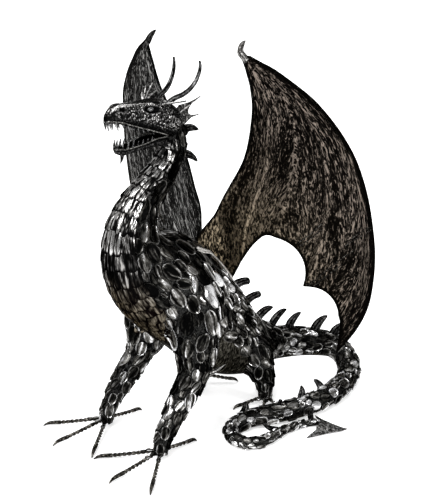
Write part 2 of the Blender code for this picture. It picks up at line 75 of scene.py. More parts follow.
class Graph:
    """The nodes of a material or of the room."""

    def __init__(self, owner):
        owner.use_nodes = True
        self.nodes = owner.node_tree.nodes
        self.links = owner.node_tree.links

    def feed(self, socket, value):
        if isinstance(value, bpy.types.NodeSocket):
            self.links.new(value, socket)
        else:
            socket.default_value = value

    def add(self, kind, inputs=(), **settings):
        node = self.nodes.new(kind)
        for key, value in settings.items():
            setattr(node, key, value)
        for socket, value in dict(inputs).items():
            self.feed(node.inputs[socket], value)
        return node


class Finish(Graph):
    """A metal finish, built up from nodes on one shader."""

    def __init__(self, name, metallic=1.0):
        self.material = bpy.data.materials.new(name)
        super().__init__(self.material)
        self.shader = self.nodes["Principled BSDF"]
        self.shader.inputs["Metallic"].default_value = metallic
        self.shader.inputs["Specular Tint"].default_value = (SHEEN, SHEEN, SHEEN, 1.0)

    def object_coords(self, scale=(1, 1, 1), turn=(0, 0, 0)):
        coords = self.add("ShaderNodeTexCoord").outputs["Object"]
        inputs = {"Vector": coords, "Scale": scale, "Rotation": turn}
        return self.add("ShaderNodeMapping", inputs).outputs[0]

    def uv(self, scale, shift=(0, 0, 0)):
        coords = self.add("ShaderNodeUVMap", uv_map="lay").outputs[0]
        inputs = {"Vector": coords, "Scale": scale, "Location": shift}
        return self.add("ShaderNodeMapping", inputs).outputs[0]

    def attribute(self, name):
        return self.add("ShaderNodeAttribute", attribute_name=name).outputs["Fac"]

    def grain(self, vector, scale=1.0, detail=3.0, rough=0.55, warp=0.0):
        inputs = {"Vector": vector, "Scale": scale, "Detail": detail}
        inputs |= {"Roughness": rough, "Distortion": warp}
        return self.add("ShaderNodeTexNoise", inputs).outputs["Fac"]

    def ramp(self, fac, *stops):
        """Colours, or greys given as one number, at their places along fac."""
        node = self.add("ShaderNodeValToRGB", {"Fac": fac})
        marks = node.color_ramp.elements
        while len(marks) < len(stops):
            marks.new(0.5)
        for mark, (place, colour) in zip(marks, stops):
            mark.position = place
            mark.color = (*colour, 1.0) if isinstance(colour, tuple) else (colour,) * 3 + (1.0,)
        return node.outputs["Color"]

    def maths(self, operation, a, b):
        node = self.add("ShaderNodeMath", operation=operation)
        self.feed(node.inputs[0], a)
        self.feed(node.inputs[1], b)
        return node.outputs[0]

    def plus(self, first, *others):
        for other in others:
            first = self.maths("ADD", first, other)
        return first

    def times(self, a, b):
        return self.maths("MULTIPLY", a, b)

    def about(self, grain, middle, strength):
        """A grain as a push up and down: 0 at its middle value."""
        return self.times(self.maths("SUBTRACT", grain, middle), strength)

    def blend(self, fac, a, b):
        node = self.add("ShaderNodeMix", data_type="RGBA")
        for number, value in ((0, fac), (6, a), (7, b)):
            self.feed(node.inputs[number], value)
        return node.outputs[2]

    def done(self, colour, roughness, height, depth, strength=BUMP_STRENGTH):
        bump = self.add("ShaderNodeBump", {"Height": height, "Distance": depth, "Strength": strength})
        self.feed(self.shader.inputs["Base Color"], colour)
        self.feed(self.shader.inputs["Roughness"], roughness)
        self.feed(self.shader.inputs["Normal"], bump.outputs[0])
        return self.material


def plate_finish():
    """Cut plates: rims and ribs ground bright, black in the hollows, their sides painted black as shade
    between the plates, some bright all over.
    """
    f = Finish("ground_plate")
    shade = f.attribute("shade")
    spread = f.times(shade, 37.0)
    shift = f.add("ShaderNodeCombineXYZ", {"X": spread, "Y": shade, "Z": spread}).outputs[0]
    strokes = f.grain(f.uv((4.0, 1.3, 1.0), shift), 1.3, 3.0, 0.6, 0.6)
    mottle = f.grain(f.object_coords(), 90.0)
    face = f.ramp(shade, (0.0, 0.0), (0.12, 0.15), (0.50, 0.26), (0.80, 0.36), (1.0, 0.58))
    edge_light = f.ramp(shade, (0.0, 0.22), (0.40, 0.44), (1.0, 0.58))
    level = f.plus(f.times(f.attribute("crest"), edge_light), face)
    level = f.plus(level, f.about(strokes, 0.5, 1.35), f.about(mottle, 0.5, 0.4))
    worn, ground = (0.17, 0.165, 0.155), (0.76, 0.76, 0.77)
    colour = f.ramp(level, (0.26, 0.002), (0.44, (0.028, 0.027, 0.024)), (0.64, worn), (0.86, ground))
    return f.done(colour, f.ramp(level, (0.3, 0.46), (0.8, 0.24)), level, 0.0010)


def skin_finish():
    """The skin under the plates: black with thin weld runs, partly burnt steel and partly painted shade
    for the gaps between the plates, and brushed brown where it lies bare.
    """
    f = Finish("bare_skin")
    runs = f.grain(f.object_coords(), 115.0, 2.0, 0.5, 1.8)
    # Nearly black between the weld runs: burnt steel, and painted shade where the skin shows in the gaps
    # between the plates.
    soot_and_gap_shade = f.ramp(runs, (0.47, 0.003), (0.53, (0.06, 0.06, 0.057)), (0.57, 0.010))
    hatch = f.grain(f.object_coords((30.0, 150.0, 60.0), (0.5, 0.3, 0.4)), 1.0, 4.0, 0.6, 0.6)
    brushed = (0.54, (0.040, 0.037, 0.030)), (0.70, (0.19, 0.18, 0.15))
    brown = f.ramp(hatch, (0.42, (0.003, 0.003, 0.002)), *brushed)
    colour = f.blend(f.attribute("bare"), soot_and_gap_shade, brown)
    return f.done(colour, f.ramp(hatch, (0.3, 0.60), (0.7, 0.36)), hatch, 0.0015)


def scute_finish():
    """Throat plates: burnished along the flutes, black between them and painted black along the seams
    between rows as shade; dull brown squares lower down.
    """
    f = Finish("throat_plate")
    strokes = f.grain(f.uv((150.0, 42.0, 1.0)), 1.0, 2.0, 0.5, 0.6)
    patch = f.grain(f.uv((60.0, 34.0, 1.0)), 1.0, 2.0, 0.5, 0.6)
    rough = f.plus(f.times(strokes, 0.6), f.times(patch, 0.6))
    level = f.plus(f.times(f.attribute("crest"), 0.75), f.about(rough, 0.6, 3.1))
    burnished = (0.60, (0.42, 0.41, 0.40)), (0.95, (0.80, 0.80, 0.79))
    bright = f.ramp(level, (0.24, 0.003), (0.40, (0.06, 0.058, 0.055)), *burnished)
    black = f.ramp(level, (0.40, 0.002), (0.75, (0.022, 0.021, 0.020)), (1.0, (0.30, 0.29, 0.28)))
    dull_browns = (0.45, (0.034, 0.029, 0.022)), (0.90, (0.15, 0.13, 0.10))
    brown = f.ramp(level, (0.18, (0.003, 0.002, 0.002)), *dull_browns)
    height = f.add("ShaderNodeSeparateXYZ", {"Vector": f.object_coords()}).outputs["Z"]
    dull = f.blend(f.ramp(height, (0.56, 1.0), (0.70, 0.0)), black, brown)
    colour = f.blend(f.attribute("low"), bright, dull)
    return f.done(colour, f.ramp(level, (0.3, 0.46), (0.7, 0.24)), level, 0.0012)


def wing_finish(name, worn, black):
    """Wing sheet: worked with short chisel strokes that fan out from the wrist, black along its rims.

    worn is the colour of the strokes, and black the share of it that is left between them."""
    f = Finish(name)
    long_cuts = f.grain(f.uv((185.0, 21.0, 1.0)), 1.0, 3.0, 0.55, 0.6)
    short_cuts = f.grain(f.uv((200.0, 50.0, 1.0), (3.7, 9.1, 0.0)), 1.0, 2.0, 0.55, 0.9)
    root_cuts = f.grain(f.object_coords((115.0, 115.0, 52.0), (0.0, 0.7, 0.0)), 1.0, 2.0, 0.5, 0.9)
    broad = f.grain(f.uv((20.0, 2.2, 1.0)), 1.0, 2.0, 0.5, 0.3)
    lift = f.plus(f.about(broad, 0.53, 1.4), f.times(f.attribute("rib"), 0.30))
    lift = f.maths("SUBTRACT", lift, f.times(f.attribute("rim"), 1.2))
    level = f.plus(f.about(f.maths("MAXIMUM", long_cuts, short_cuts), 0.52, 5.5), lift)
    root_level = f.plus(f.about(root_cuts, 0.40, 5.0), lift)
    warmth = f.attribute("warm")
    level = f.plus(f.times(level, f.maths("SUBTRACT", 1.0, warmth)), f.times(root_level, warmth))
    dark, half_worn = (tuple(c * part for c in worn) for part in (black, 0.11))
    cool = f.ramp(level, (0.12, dark), (0.38, half_worn), (0.80, worn))
    ochres = (0.36, (0.056, 0.045, 0.028)), (0.85, (0.27, 0.215, 0.14))
    warm = f.ramp(level, (0.10, (0.005, 0.004, 0.0026)), *ochres)
    colour = f.blend(warmth, cool, warm)
    return f.done(colour, f.ramp(level, (0.1, 0.55), (0.9, 0.34)), level, 0.0008)


def forged_finish(name, dark, middle, shine, scale):
    """Forged bar: nearly black, with worn lines along the crests."""
    f = Finish(name)
    marks = f.grain(f.object_coords(), scale, 4.0, 0.65, 0.8)
    wear = f.grain(f.object_coords(), scale * 3.1, 3.0, 0.6)
    level = f.plus(marks, f.times(f.attribute("crest"), 0.22))
    colour = f.ramp(level, (0.46, dark), (0.62, middle), (0.80, shine))
    return f.done(colour, f.ramp(wear, (0.35, 0.48), (0.65, 0.26)), f.plus(marks, wear), 0.0010, 0.7)


def head_finish():
    """Head: pebbled with weld beads, their crowns burnished and the hollows black; painted shade darkens
    the eye sockets, the nostrils, the lower cheeks and the mouth, and a painted highlight lightens the
    upper lids.
    """
    f = Finish("beaded_head")
    fine = f.grain(f.object_coords(), 420.0, 3.0, 0.6)
    level = f.plus(f.attribute("crest"), f.about(fine, 0.5, 0.7))
    colour = f.ramp(level, (0.28, 0.004), (0.60, (0.050, 0.049, 0.048)), (0.95, (0.62, 0.61, 0.60)))
    return f.done(colour, f.ramp(level, (0.1, 0.52), (0.7, 0.22)), level, 0.0020)


def eye_finish():
    """The eye: a polished black ball with paler specks painted on as glints."""
    f = Finish("polished_eye", 0.6)
    specks = f.grain(f.object_coords(), 900.0, 3.0, 0.6)
    # The paler specks are painted glints.
    colour = f.ramp(specks, (0.48, 0.004), (0.60, 0.45))
    return f.done(colour, f.ramp(specks, (0.4, 0.10), (0.6, 0.20)), specks, 0.0003)


PLATE = plate_finish()
SKIN = skin_finish()
SCUTE = scute_finish()
SHEET = wing_finish("brown_sheet", (0.215, 0.178, 0.150), 0.010)
GREY_SHEET = wing_finish("grey_sheet", (0.28, 0.276, 0.268), 0.045)
SPIKE = forged_finish("forged_spike", 0.0012, 0.006, (0.10, 0.098, 0.096), 70.0)
BAR = forged_finish("twisted_bar", 0.002, (0.014, 0.013, 0.011), (0.24, 0.225, 0.20), 110.0)
HORN_STEEL = forged_finish("burnished_horn", 0.002, 0.010, 0.16, 50.0)
CLAW = forged_finish("claw_steel", (0.010, 0.010, 0.009), (0.12, 0.115, 0.11), (0.62, 0.61, 0.59), 110.0)
ARROW_STEEL = forged_finish("arrow_steel", 0.002, (0.018, 0.018, 0.017), (0.30, 0.295, 0.29), 120.0)
WELD = forged_finish("weld_bead", (0.10, 0.09, 0.08), (0.55, 0.53, 0.50), (0.85, 0.84, 0.82), 160.0)
LIP = forged_finish("lip_weld", (0.010, 0.010, 0.009), (0.09, 0.088, 0.083), (0.50, 0.49, 0.46), 160.0)
TOOTH = forged_finish("tooth_steel", 0.003, 0.035, 0.60, 130.0)
FIN = forged_finish("fin_steel", 0.005, (0.075, 0.073, 0.070), (0.72, 0.71, 0.70), 120.0)
HEAD = head_finish()
EYE = eye_finish()


# ---------------------------------------------------------------- lines, tubes and sheets


def smooth_rows(rows, steps):
    """Catmull-Rom through the rows, every column at once, with `steps` spans between two rows."""
    rows = [tuple(row) for row in rows]
    first = tuple(2 * a - b for a, b in zip(rows[0], rows[1]))
    last = tuple(2 * a - b for a, b in zip(rows[-1], rows[-2]))
    padded = [first, *rows, last]
    out = []
    for p0, p1, p2, p3 in zip(padded, padded[1:], padded[2:], padded[3:]):
        for k in range(steps):
            t = k / steps
            bends = (
                b + 0.5 * t * (c - a + t * (2 * a - 5 * b + 4 * c - d + t * (3 * b - a - 3 * c + d)))
                for a, b, c, d in zip(p0, p1, p2, p3)
            )
            out.append(tuple(bends))
    out.append(rows[-1])
    return out


class Line:
    """A smooth line through rows of numbers, read by a share of its length."""

    def __init__(self, rows, steps=8, axes=3):
        self.rows = smooth_rows(rows, steps) if steps > 1 else [tuple(row) for row in rows]
        self.marks = [0.0]
        for a, b in zip(self.rows, self.rows[1:]):
            self.marks.append(self.marks[-1] + math.dist(a[:axes], b[:axes]))
        self.length = self.marks[-1]

    def at(self, share):
        goal = min(max(share, 0.0), 1.0) * self.length
        i = min(max(bisect.bisect_left(self.marks, goal), 1), len(self.marks) - 1)
        span = self.marks[i] - self.marks[i - 1]
        t = (goal - self.marks[i - 1]) / span if span else 0.0
        return tuple(a + (b - a) * t for a, b in zip(self.rows[i - 1], self.rows[i]))


def ease(t):
    t = min(1.0, max(0.0, t))
    return t * t * (3 - 2 * t)


def bell(distance, width):
    return math.exp(-((distance / width) ** 2))


def tree_of(points):
    """The points, ready to be asked for the one nearest to a spot."""
    tree = KDTree(len(points))
    for number, point in enumerate(points):
        tree.insert(point, number)
    tree.balance()
    return tree


def sided(rows, side):
    """Rows of a left part as they are, or mirrored for the right one."""
    return rows if side == 1 else tuple((-row[0], *row[1:]) for row in rows)


def transported(points):
    """Each point with two axes square to the line there, turned as little as possible on the way."""
    first = UP
    out = []
    for i, point in enumerate(points):
        tangent = (points[min(i + 1, len(points) - 1)] - points[max(i - 1, 0)]).normalized()
        first = (first - tangent * first.dot(tangent)).normalized()
        out.append((point, first, tangent.cross(first)))
    return out


SEAM_GAP = 1e-6  # corners nearer than this are one


def border_of(bm):
    return [edge for edge in bm.edges if edge.is_boundary]


def closed_up(bm):
    """Fills the holes and turns every face outward."""
    bmesh.ops.holes_fill(bm, edges=border_of(bm))
    bmesh.ops.recalc_face_normals(bm, faces=bm.faces)


def seams_welded(bm):
    """Joins the corners that meet and turns the faces one way."""
    bmesh.ops.remove_doubles(bm, verts=bm.verts, dist=SEAM_GAP)
    bmesh.ops.recalc_face_normals(bm, faces=bm.faces)


def skirted(bm, foot):
    """Closes a sheet underneath. foot(corner) gives the place and crest value of each lower corner."""
    skirt = bmesh.ops.extrude_edge_only(bm, edges=border_of(bm))["geom"]
    crest = bm.verts.layers.float["crest"]
    for vert in skirt:
        if isinstance(vert, bmesh.types.BMVert):
            vert.co, vert[crest] = foot(vert.co)
    closed_up(bm)


def grid(rows, columns, place, closed=False):
    """A grid of quads put in place by place(share, turn), which gives a point and its crest value.

    A closed one is a tube, whose seam is welded and whose ends are filled."""
    bm = bmesh.new()
    bmesh.ops.create_grid(bm, x_segments=rows, y_segments=columns, size=0.5)
    lay = bm.loops.layers.uv.new("lay")
    crest = bm.verts.layers.float.new("crest")
    for face in bm.faces:
        for loop in face.loops:
            loop[lay].uv = (loop.vert.co.y + 0.5, loop.vert.co.x + 0.5)
    for vert in bm.verts:
        vert.co, vert[crest] = place(vert.co.x + 0.5, vert.co.y + 0.5)
    if closed:
        bmesh.ops.remove_doubles(bm, verts=bm.verts, dist=SEAM_GAP)
        closed_up(bm)
    return bm


def tube(line, rows, sides, section, start=0.0):
    """A closed tube along a Line of x, y, z, radius, from a share of its length on.

    section(share, angle) scales the radius and gives the crest value."""
    shares = [start + (1.0 - start) * k / rows for k in range(rows + 1)]
    stations = [line.at(share) for share in shares]
    axes = transported([Vector(row[:3]) for row in stations])

    def place(share, turn):
        row = round(share * rows)
        angle = 2 * math.pi * turn
        swell, height = section(shares[row], angle)
        point, one, two = axes[row]
        radius = stations[row][3] * swell
        return point + (one * math.cos(angle) + two * math.sin(angle)) * radius + SHIFT, height

    return grid(rows, sides, place, closed=True)


def beaded(polish, depth=0.0, waves=0.0, phase=0.0):
    """A section for a tube: round, and swelling along it in waves."""
    return lambda share, angle: (1 + depth * math.sin(waves * share + phase), polish)


def mesh_of(bm, name):
    """Turns a bmesh into a mesh."""
    mesh = bpy.data.meshes.new(name)
    bm.to_mesh(mesh)
    bm.free()
    return mesh


def join(*parts):
    """Several bmeshes as one."""
    whole = parts[0]
    for part in parts[1:]:
        mesh = mesh_of(part, "part")
        whole.from_mesh(mesh)
        bpy.data.meshes.remove(mesh)
    return whole


def put(name, data):
    """Puts an object of this name in the scene."""
    obj = bpy.data.objects.new(name, data)
    bpy.context.scene.collection.objects.link(obj)
    return obj


def piece(bm, name, finish, slot, *nodes, sharp=40):
    """Makes a bmesh one piece of the dragon, in place of these CAD nodes."""
    mesh = mesh_of(bm, name)
    mesh.materials.append(finish)
    mesh.shade_smooth()
    mesh.set_sharp_from_angle(angle=math.radians(sharp))
    obj = put(name, mesh)
    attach(obj, "root")
    if nodes:
        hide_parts(*nodes)
    return obj


def solidified(obj, thickness):
    """Gives a sheet its wall, half to each side, as real faces."""
    modifier = obj.modifiers.new("wall", "SOLIDIFY")
    modifier.thickness = thickness
    modifier.offset = 0.0


# ---------------------------------------------------------------- trunk, legs and tail

# Middle line of trunk and neck from nape to rump: y, z, half width, half depth.
TRUNK = (
    (-0.104, 1.19, 0.038, 0.05), (-0.1, 1.12, 0.04, 0.05), (-0.141, 1.05, 0.045, 0.05),
    (-0.212, 0.985, 0.056, 0.058), (-0.278, 0.912, 0.074, 0.076), (-0.308, 0.83, 0.096, 0.098),
    (-0.29, 0.745, 0.134, 0.136), (-0.22, 0.66, 0.164, 0.186), (-0.093, 0.552, 0.168, 0.194),
    (0.024, 0.424, 0.161, 0.188), (0.132, 0.311, 0.149, 0.171), (0.242, 0.235, 0.127, 0.138),
    (0.35, 0.2, 0.098, 0.098), (0.435, 0.184, 0.076, 0.076),
)
# Shoulder to ankle and hip to ankle: x, y, z, radius.
FRONT_LEG = (
    (0.088, -0.125, 0.64, 0.07), (0.112, -0.12, 0.54, 0.096), (0.139, -0.128, 0.43, 0.095),
    (0.151, -0.138, 0.345, 0.077), (0.156, -0.152, 0.285, 0.057), (0.159, -0.188, 0.232, 0.051),
    (0.162, -0.24, 0.175, 0.0455), (0.165, -0.287, 0.118, 0.0365), (0.167, -0.319, 0.068, 0.03),
    (0.167, -0.328, 0.018, 0.026),
)
REAR_LEG = (
    (0.078, 0.238, 0.27, 0.075), (0.106, 0.232, 0.212, 0.068), (0.124, 0.244, 0.155, 0.053),
    (0.128, 0.262, 0.105, 0.04), (0.127, 0.268, 0.065, 0.031), (0.127, 0.268, 0.018, 0.025),
)
# The right rear foot is set wider and further forward; x is counted outward.
REAR_LEG_RIGHT = (
    (0.086, 0.236, 0.27, 0.075), (0.126, 0.224, 0.212, 0.067), (0.164, 0.214, 0.155, 0.052),
    (0.191, 0.209, 0.105, 0.039), (0.203, 0.209, 0.065, 0.03), (0.204, 0.209, 0.018, 0.0245),
)
# Middle line of the tail: x, y, z, radius.
TAIL_DROP = (
    (0.0, 0.415, 0.177, 0.075), (0.008, 0.5, 0.162, 0.073), (0.026, 0.584, 0.144, 0.067),
    (0.052, 0.664, 0.122, 0.061), (0.09, 0.728, 0.101, 0.055), (0.144, 0.745, 0.077, 0.05),
    (0.204, 0.713, 0.054, 0.048),
)
TAIL_LYING = (
    (0.257, 0.646, 0.046), (0.298, 0.555, 0.0445), (0.317, 0.461, 0.0435), (0.321, 0.366, 0.043),
    (0.307, 0.268, 0.0415), (0.275, 0.176, 0.04), (0.238, 0.096, 0.0375), (0.219, 0.022, 0.034),
    (0.234, -0.038, 0.029), (0.288, -0.064, 0.0258), (0.345, -0.05, 0.0238), (0.368, 0.008, 0.0222),
    (0.367, 0.074, 0.0203), (0.359, 0.143, 0.0184), (0.368, 0.204, 0.0167), (0.385, 0.251, 0.0151),
    (0.406, 0.284, 0.0135),
)
TAIL = (*TAIL_DROP, *((x, y, radius, radius) for x, y, radius in TAIL_LYING))
TRUNK_ROWS = [(0.0, *row) for row in TRUNK]
TRUNK_LINE = Line(TRUNK_ROWS)
BELLY_START = 0.82  # metres along the middle line, where the throat plates end
LOW_START = 0.41  # and where they turn from long bright flutes to short dark squares
# Half width of the throat plates in degrees off the front: metres along the middle line, angle.
THROAT_HALF = (
    (0.0, 60), (0.11, 68), (0.16, 74), (0.22, 74), (0.29, 60), (0.42, 60), (0.49, 60), (0.55, 54),
    (0.66, 51), (0.75, 34), (0.9, 28),
)


def trunk_station(metres):
    """At a length down the trunk: its middle, the way to its front and its half width."""
    share = metres / TRUNK_LINE.length
    here = TRUNK_LINE.at(share)
    ahead, behind = TRUNK_LINE.at(share + 0.012), TRUNK_LINE.at(share - 0.012)
    run = Vector((0, ahead[1] - behind[1], ahead[2] - behind[2])).normalized()
    return Vector(here[:3]), Vector((0, run.z, -run.y)), here[3]


def throat_half(metres):
    for (m0, a0), (m1, a1) in zip(THROAT_HALF, THROAT_HALF[1:]):
        if metres <= m1:
            return a0 + (a1 - a0) * (metres - m0) / (m1 - m0)
    return THROAT_HALF[-1][1]


def belly_half(metres):
    """Half width of the bare belly in degrees off the front, widest 1.08 m down the middle line."""
    return 64 + 19 * bell(metres - 1.08, 0.17)


def make_skin():
    """The welded skin itself: the CAD solid with its facets rounded off."""
    bm = bmesh.new()
    bm.from_mesh(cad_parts["body"].data)
    bmesh.ops.remove_doubles(bm, verts=bm.verts, dist=1e-5)
    bmesh.ops.join_triangles(bm, faces=bm.faces, angle_face_threshold=0.7, angle_shape_threshold=0.9)
    every_axis = {"use_axis_x": True, "use_axis_y": True, "use_axis_z": True}
    bmesh.ops.smooth_vert(bm, verts=bm.verts, factor=0.25, **every_axis)
    obj = piece(bm, "skin", SKIN, "skin_steel", "body", sharp=180)
    rounding = obj.modifiers.new("rounding", "SUBSURF")
    rounding.levels = rounding.render_levels = 2
    mesh = bpy.data.meshes.new_from_object(obj.evaluated_get(bpy.context.evaluated_depsgraph_get()))
    obj.modifiers.remove(rounding)
    obj.data = mesh
    mesh.name = "skin"
    return obj


class Surface:
    """The skin as something to lay plates on."""

    def __init__(self, mesh):
        bm = bmesh.new()
        bm.from_mesh(mesh)
        bmesh.ops.triangulate(bm, faces=bm.faces)
        bm.normal_update()
        self.tree = BVHTree.FromBMesh(bm)
        self.corners = [[vert.co.copy() for vert in face.verts] for face in bm.faces]
        self.normals = [face.normal.copy() for face in bm.faces]
        self.sums = []
        total = 0.0
        for face in bm.faces:
            total += face.calc_area()
            self.sums.append(total)
        bm.free()

    def sample(self):
        """A random point, even over the area, and its normal."""
        index = bisect.bisect_left(self.sums, rng.random() * self.sums[-1])
        a, b, c = self.corners[index]
        s, t = rng.random(), rng.random()
        if s + t > 1:
            s, t = 1 - s, 1 - t
        return a + (b - a) * s + (c - a) * t, self.normals[index]

    def nearest(self, point):
        spot, normal, _, _ = self.tree.find_nearest(point)
        return spot, normal


class Run:
    """One tube of the dragon, with the way its plates point."""

    def __init__(self, name, rows):
        self.name = name
        line = Line(rows)
        count = max(12, int(line.length / 0.008))
        self.rows = [line.at(k / count) for k in range(count + 1)]
        self.points = [Vector(row[:3]) for row in self.rows]
        self.metres = [line.length * k / count for k in range(count + 1)]
        self.tree = tree_of(self.points)

    def near(self, spot):
        """How far outside its own radius the spot is, as a share, with the index and the run."""
        _, index, distance = self.tree.find(spot)
        ahead = self.points[min(index + 2, len(self.points) - 1)]
        behind = self.points[max(index - 2, 0)]
        radius = max(self.rows[index][3:])
        return distance / radius - 1, index, (ahead - behind).normalized()


RUNS = [
    Run("trunk", TRUNK_ROWS),
    Run("tail", TAIL),
    Run("front_leg_left", FRONT_LEG),
    Run("rear_leg_left", REAR_LEG),
    Run("front_leg_right", sided(FRONT_LEG, -1)),
    Run("rear_leg_right", sided(REAR_LEG_RIGHT, -1)),
]
# How strongly a run turns the plates near it, and how fast that fades outside it.
FRONT_PULL, OTHER_PULL = (2.4, 3.0), (1.0, 7.0)


def flow(spot):
    """Which tube a spot of the skin belongs to, and the way its plates point there."""
    best = None
    way = Vector()
    for run in RUNS:
        outside, index, ahead = run.near(spot)
        pull, fall = FRONT_PULL if run.name.startswith("front") else OTHER_PULL
        way += ahead * pull * math.exp(-fall * max(0.0, outside))
        if best is None or outside < best[0]:
            best = (outside, run, index)
    return best[1], best[2], way.normalized()


def front_angle(spot, index):
    """Degrees between the front of the trunk and a spot of its skin."""
    run = RUNS[0]
    ahead = run.points[min(index + 1, len(run.points) - 1)] - run.points[max(index - 1, 0)]
    front = Vector((0, ahead.z, -ahead.y)).normalized()
    out = spot - run.points[index]
    return math.degrees(math.atan2(abs(out.x), out.dot(front)))


def paint_bare(skin):
    """Marks the belly and the underside of the tail, where no plates lie."""
    values = []
    for vert in skin.vertices:
        local = vert.co - SHIFT
        run, index, _ = flow(local)
        value = 0.0
        if run.name == "trunk":
            metres = run.metres[index]
            inside = 1 - ease((front_angle(local, index) - belly_half(metres)) / 10)
            value = ease((metres - BELLY_START + 0.10) / 0.10) * inside
        elif run.name == "tail":
            value = ease((-vert.normal.z - 0.30) / 0.2)
        values.append(value)
    skin.attributes.new("bare", "FLOAT", "POINT").data.foreach_set("value", values)


# ---------------------------------------------------------------- leaf plates

LEAF_ROWS, LEAF_COLUMNS = 6, 4
# Height and polish of each kind of plate on its middle line, half way out and on its rim.
PROFILES = {
    "rib": ((1.10, 1.0), (0.20, 0.0), (0.85, 0.9)),
    "bowl": ((0.10, 0.0), (0.40, 0.1), (1.05, 1.0)),
    "crease": ((1.30, 0.9), (0.75, 0.25), (0.30, 0.4)),
    "dome": ((1.10, 0.6), (0.95, 0.5), (0.40, 0.3)),
}
LEAF_FOOT = -0.9  # how far below its face a plate reaches, as a share of its height


def leaf(kind, seed, taper):
    """A plate of unit length and width, tip towards +x: a hammered top, a skirt and a closed back."""
    profile = PROFILES[kind]

    def place(along, across):
        u, v = 2 * along - 1, 2 * across - 1
        row = round(2 * abs(v))
        u, v = math.copysign(abs(u) ** 0.75, u), math.copysign(abs(v) ** 0.62, v)
        border = max(abs(u), abs(v)) > 0.99
        half = max(0.20, (1 - abs(u) ** (2.8 if u < 0 else 2.0)) ** taper)
        height, polish = profile[2 if border else row]
        height += 0.28 * noise.noise(Vector((1.9 * u, 1.9 * v, 7.3 * seed)))
        bend = 0.10 * math.sin(2.2 * u + 2.0 * seed)
        return Vector((0.5 * u, 0.5 * v * half + bend * (1 - abs(u)) * 0.6, height)), polish

    bm = grid(LEAF_ROWS, LEAF_COLUMNS, place)
    # The skirt gets a crest of -1, which paints the sides of each plate black, as shade in the gaps
    # between plates.
    skirted(bm, lambda corner: (Vector((corner.x, corner.y, LEAF_FOOT)), -1.0))
    mesh = mesh_of(bm, "leaf")
    mesh.attributes.new("shade", "FLOAT", "POINT")
    return mesh


LONG_TAPER, ROUND_TAPER = 0.62, 0.42
LEAVES = [leaf(kind, seed, LONG_TAPER) for kind in (*PROFILES, "bowl", "rib") for seed in (1, 2, 3)]
ROUND_LEAVES = [leaf(kind, seed, ROUND_TAPER) for kind in (*PROFILES, "bowl") for seed in (4, 5)]
FLOOR_GAP = 0.0006  # plates stay this far above the floor


def stamp(bm, template, spot, way, normal, long, wide, shade, surface, tall):
    """Lays a copy of a plate on the skin, wrapped round it, with the tip a little raised."""
    way = (way - normal * way.dot(normal)).normalized()
    side = normal.cross(way)
    mesh = template.copy()
    for vert in mesh.vertices:
        x, y, z = vert.co
        flat = spot + way * (x * long) + side * (y * wide)
        foot, out = surface.nearest(flat) if surface else (flat, normal)
        out = (out + normal * 0.6).normalized()
        lift = 0.30 * tall * (2 * x + 1) if z > -0.5 else 0.0
        place = foot + out * (z * tall + lift)
        vert.co = (place.x, min(place.y, cad_box[1][1] - 0.0002), max(place.z, FLOOR_GAP))
    mesh.attributes["shade"].data.foreach_set("value", [shade] * len(mesh.vertices))
    bm.from_mesh(mesh)
    bpy.data.meshes.remove(mesh)


class Plate:
    """Where a plate lies and how large it is."""

    def __init__(self, region, spot, way, normal, long, wide, rounded, scale):
        self.region, self.spot, self.way, self.normal = region, spot, way, normal
        self.long, self.wide, self.rounded, self.scale = long, wide, rounded, scale
        self.grown = 1.0


class Bed:
    """Plates already laid, in boxes, so that a new one can be kept clear of them."""

    SIZE = 0.055  # of a box, longer than any plate reaches from its middle

    def __init__(self):
        self.boxes = {}
        self.laid = []

    def key(self, spot):
        return tuple(int(math.floor(c / self.SIZE)) for c in spot)

    def room(self, plate):
        """How much nearer the closest plate could come: 1 when two plates just touch."""
        side = plate.normal.cross(plate.way)
        x0, y0, z0 = self.key(plate.spot)
        tightest = 9.0
        for x, y, z in itertools.product((-1, 0, 1), repeat=3):
            for other in self.boxes.get((x0 + x, y0 + y, z0 + z), ()):
                if other is plate or other.normal.dot(plate.normal) < -0.2:
                    continue
                gap = other.spot - plate.spot
                a = 2 * gap.dot(plate.way) / (plate.long + other.long)
                b = 2 * gap.dot(side) / (plate.wide + other.wide)
                tightest = min(tightest, math.hypot(a, b))
        return tightest

    def add(self, plate):
        self.boxes.setdefault(self.key(plate.spot), []).append(plate)
        self.laid.append(plate)

    def swell(self, most):
        """Lets every plate grow, by up to `most`, until it overlaps its neighbours a little."""
        for _ in range(5):
            for plate in self.laid:
                grow = min(self.room(plate) / GROWN_GAP, 1.09, most / plate.grown)
                if grow > 1:
                    plate.grown *= grow
                    plate.long *= grow
                    plate.wide *= grow


NECK_END = 0.40  # metres along the middle line: the plates above it are smaller
NECK_PLATE, SHOULDER_PLATE, FLANK_PLATE = (0.062, 0.034), (0.068, 0.041), (0.054, 0.036)


def plate_size(run, index, spot):
    """Length, width and roundness of the plates at a place of the dragon, or None where it is bare."""
    radius = max(run.rows[index][3:])
    metres = run.metres[index]
    if run.name == "trunk":
        angle = front_angle(spot, index)
        if angle < (throat_half(metres) + 3 if metres < BELLY_START else belly_half(metres)):
            return None
        if metres < BELLY_START:
            return (*(NECK_PLATE if metres < NECK_END else SHOULDER_PLATE), False)
        shrink = ease((metres - BELLY_START) / 0.5)
        return (FLANK_PLATE[0] - 0.008 * shrink, FLANK_PLATE[1] - 0.005 * shrink, False)
    if run.name.startswith("front"):
        return (0.027 + 0.50 * radius, 0.014 + 0.42 * radius, spot.z < 0.16)
    if run.name.startswith("rear"):
        return (0.027 + 0.50 * radius, 0.016 + 0.28 * radius, False)
    return (min(0.046, max(0.018, 1.15 * radius)), min(0.032, max(0.013, 0.78 * radius)), True)


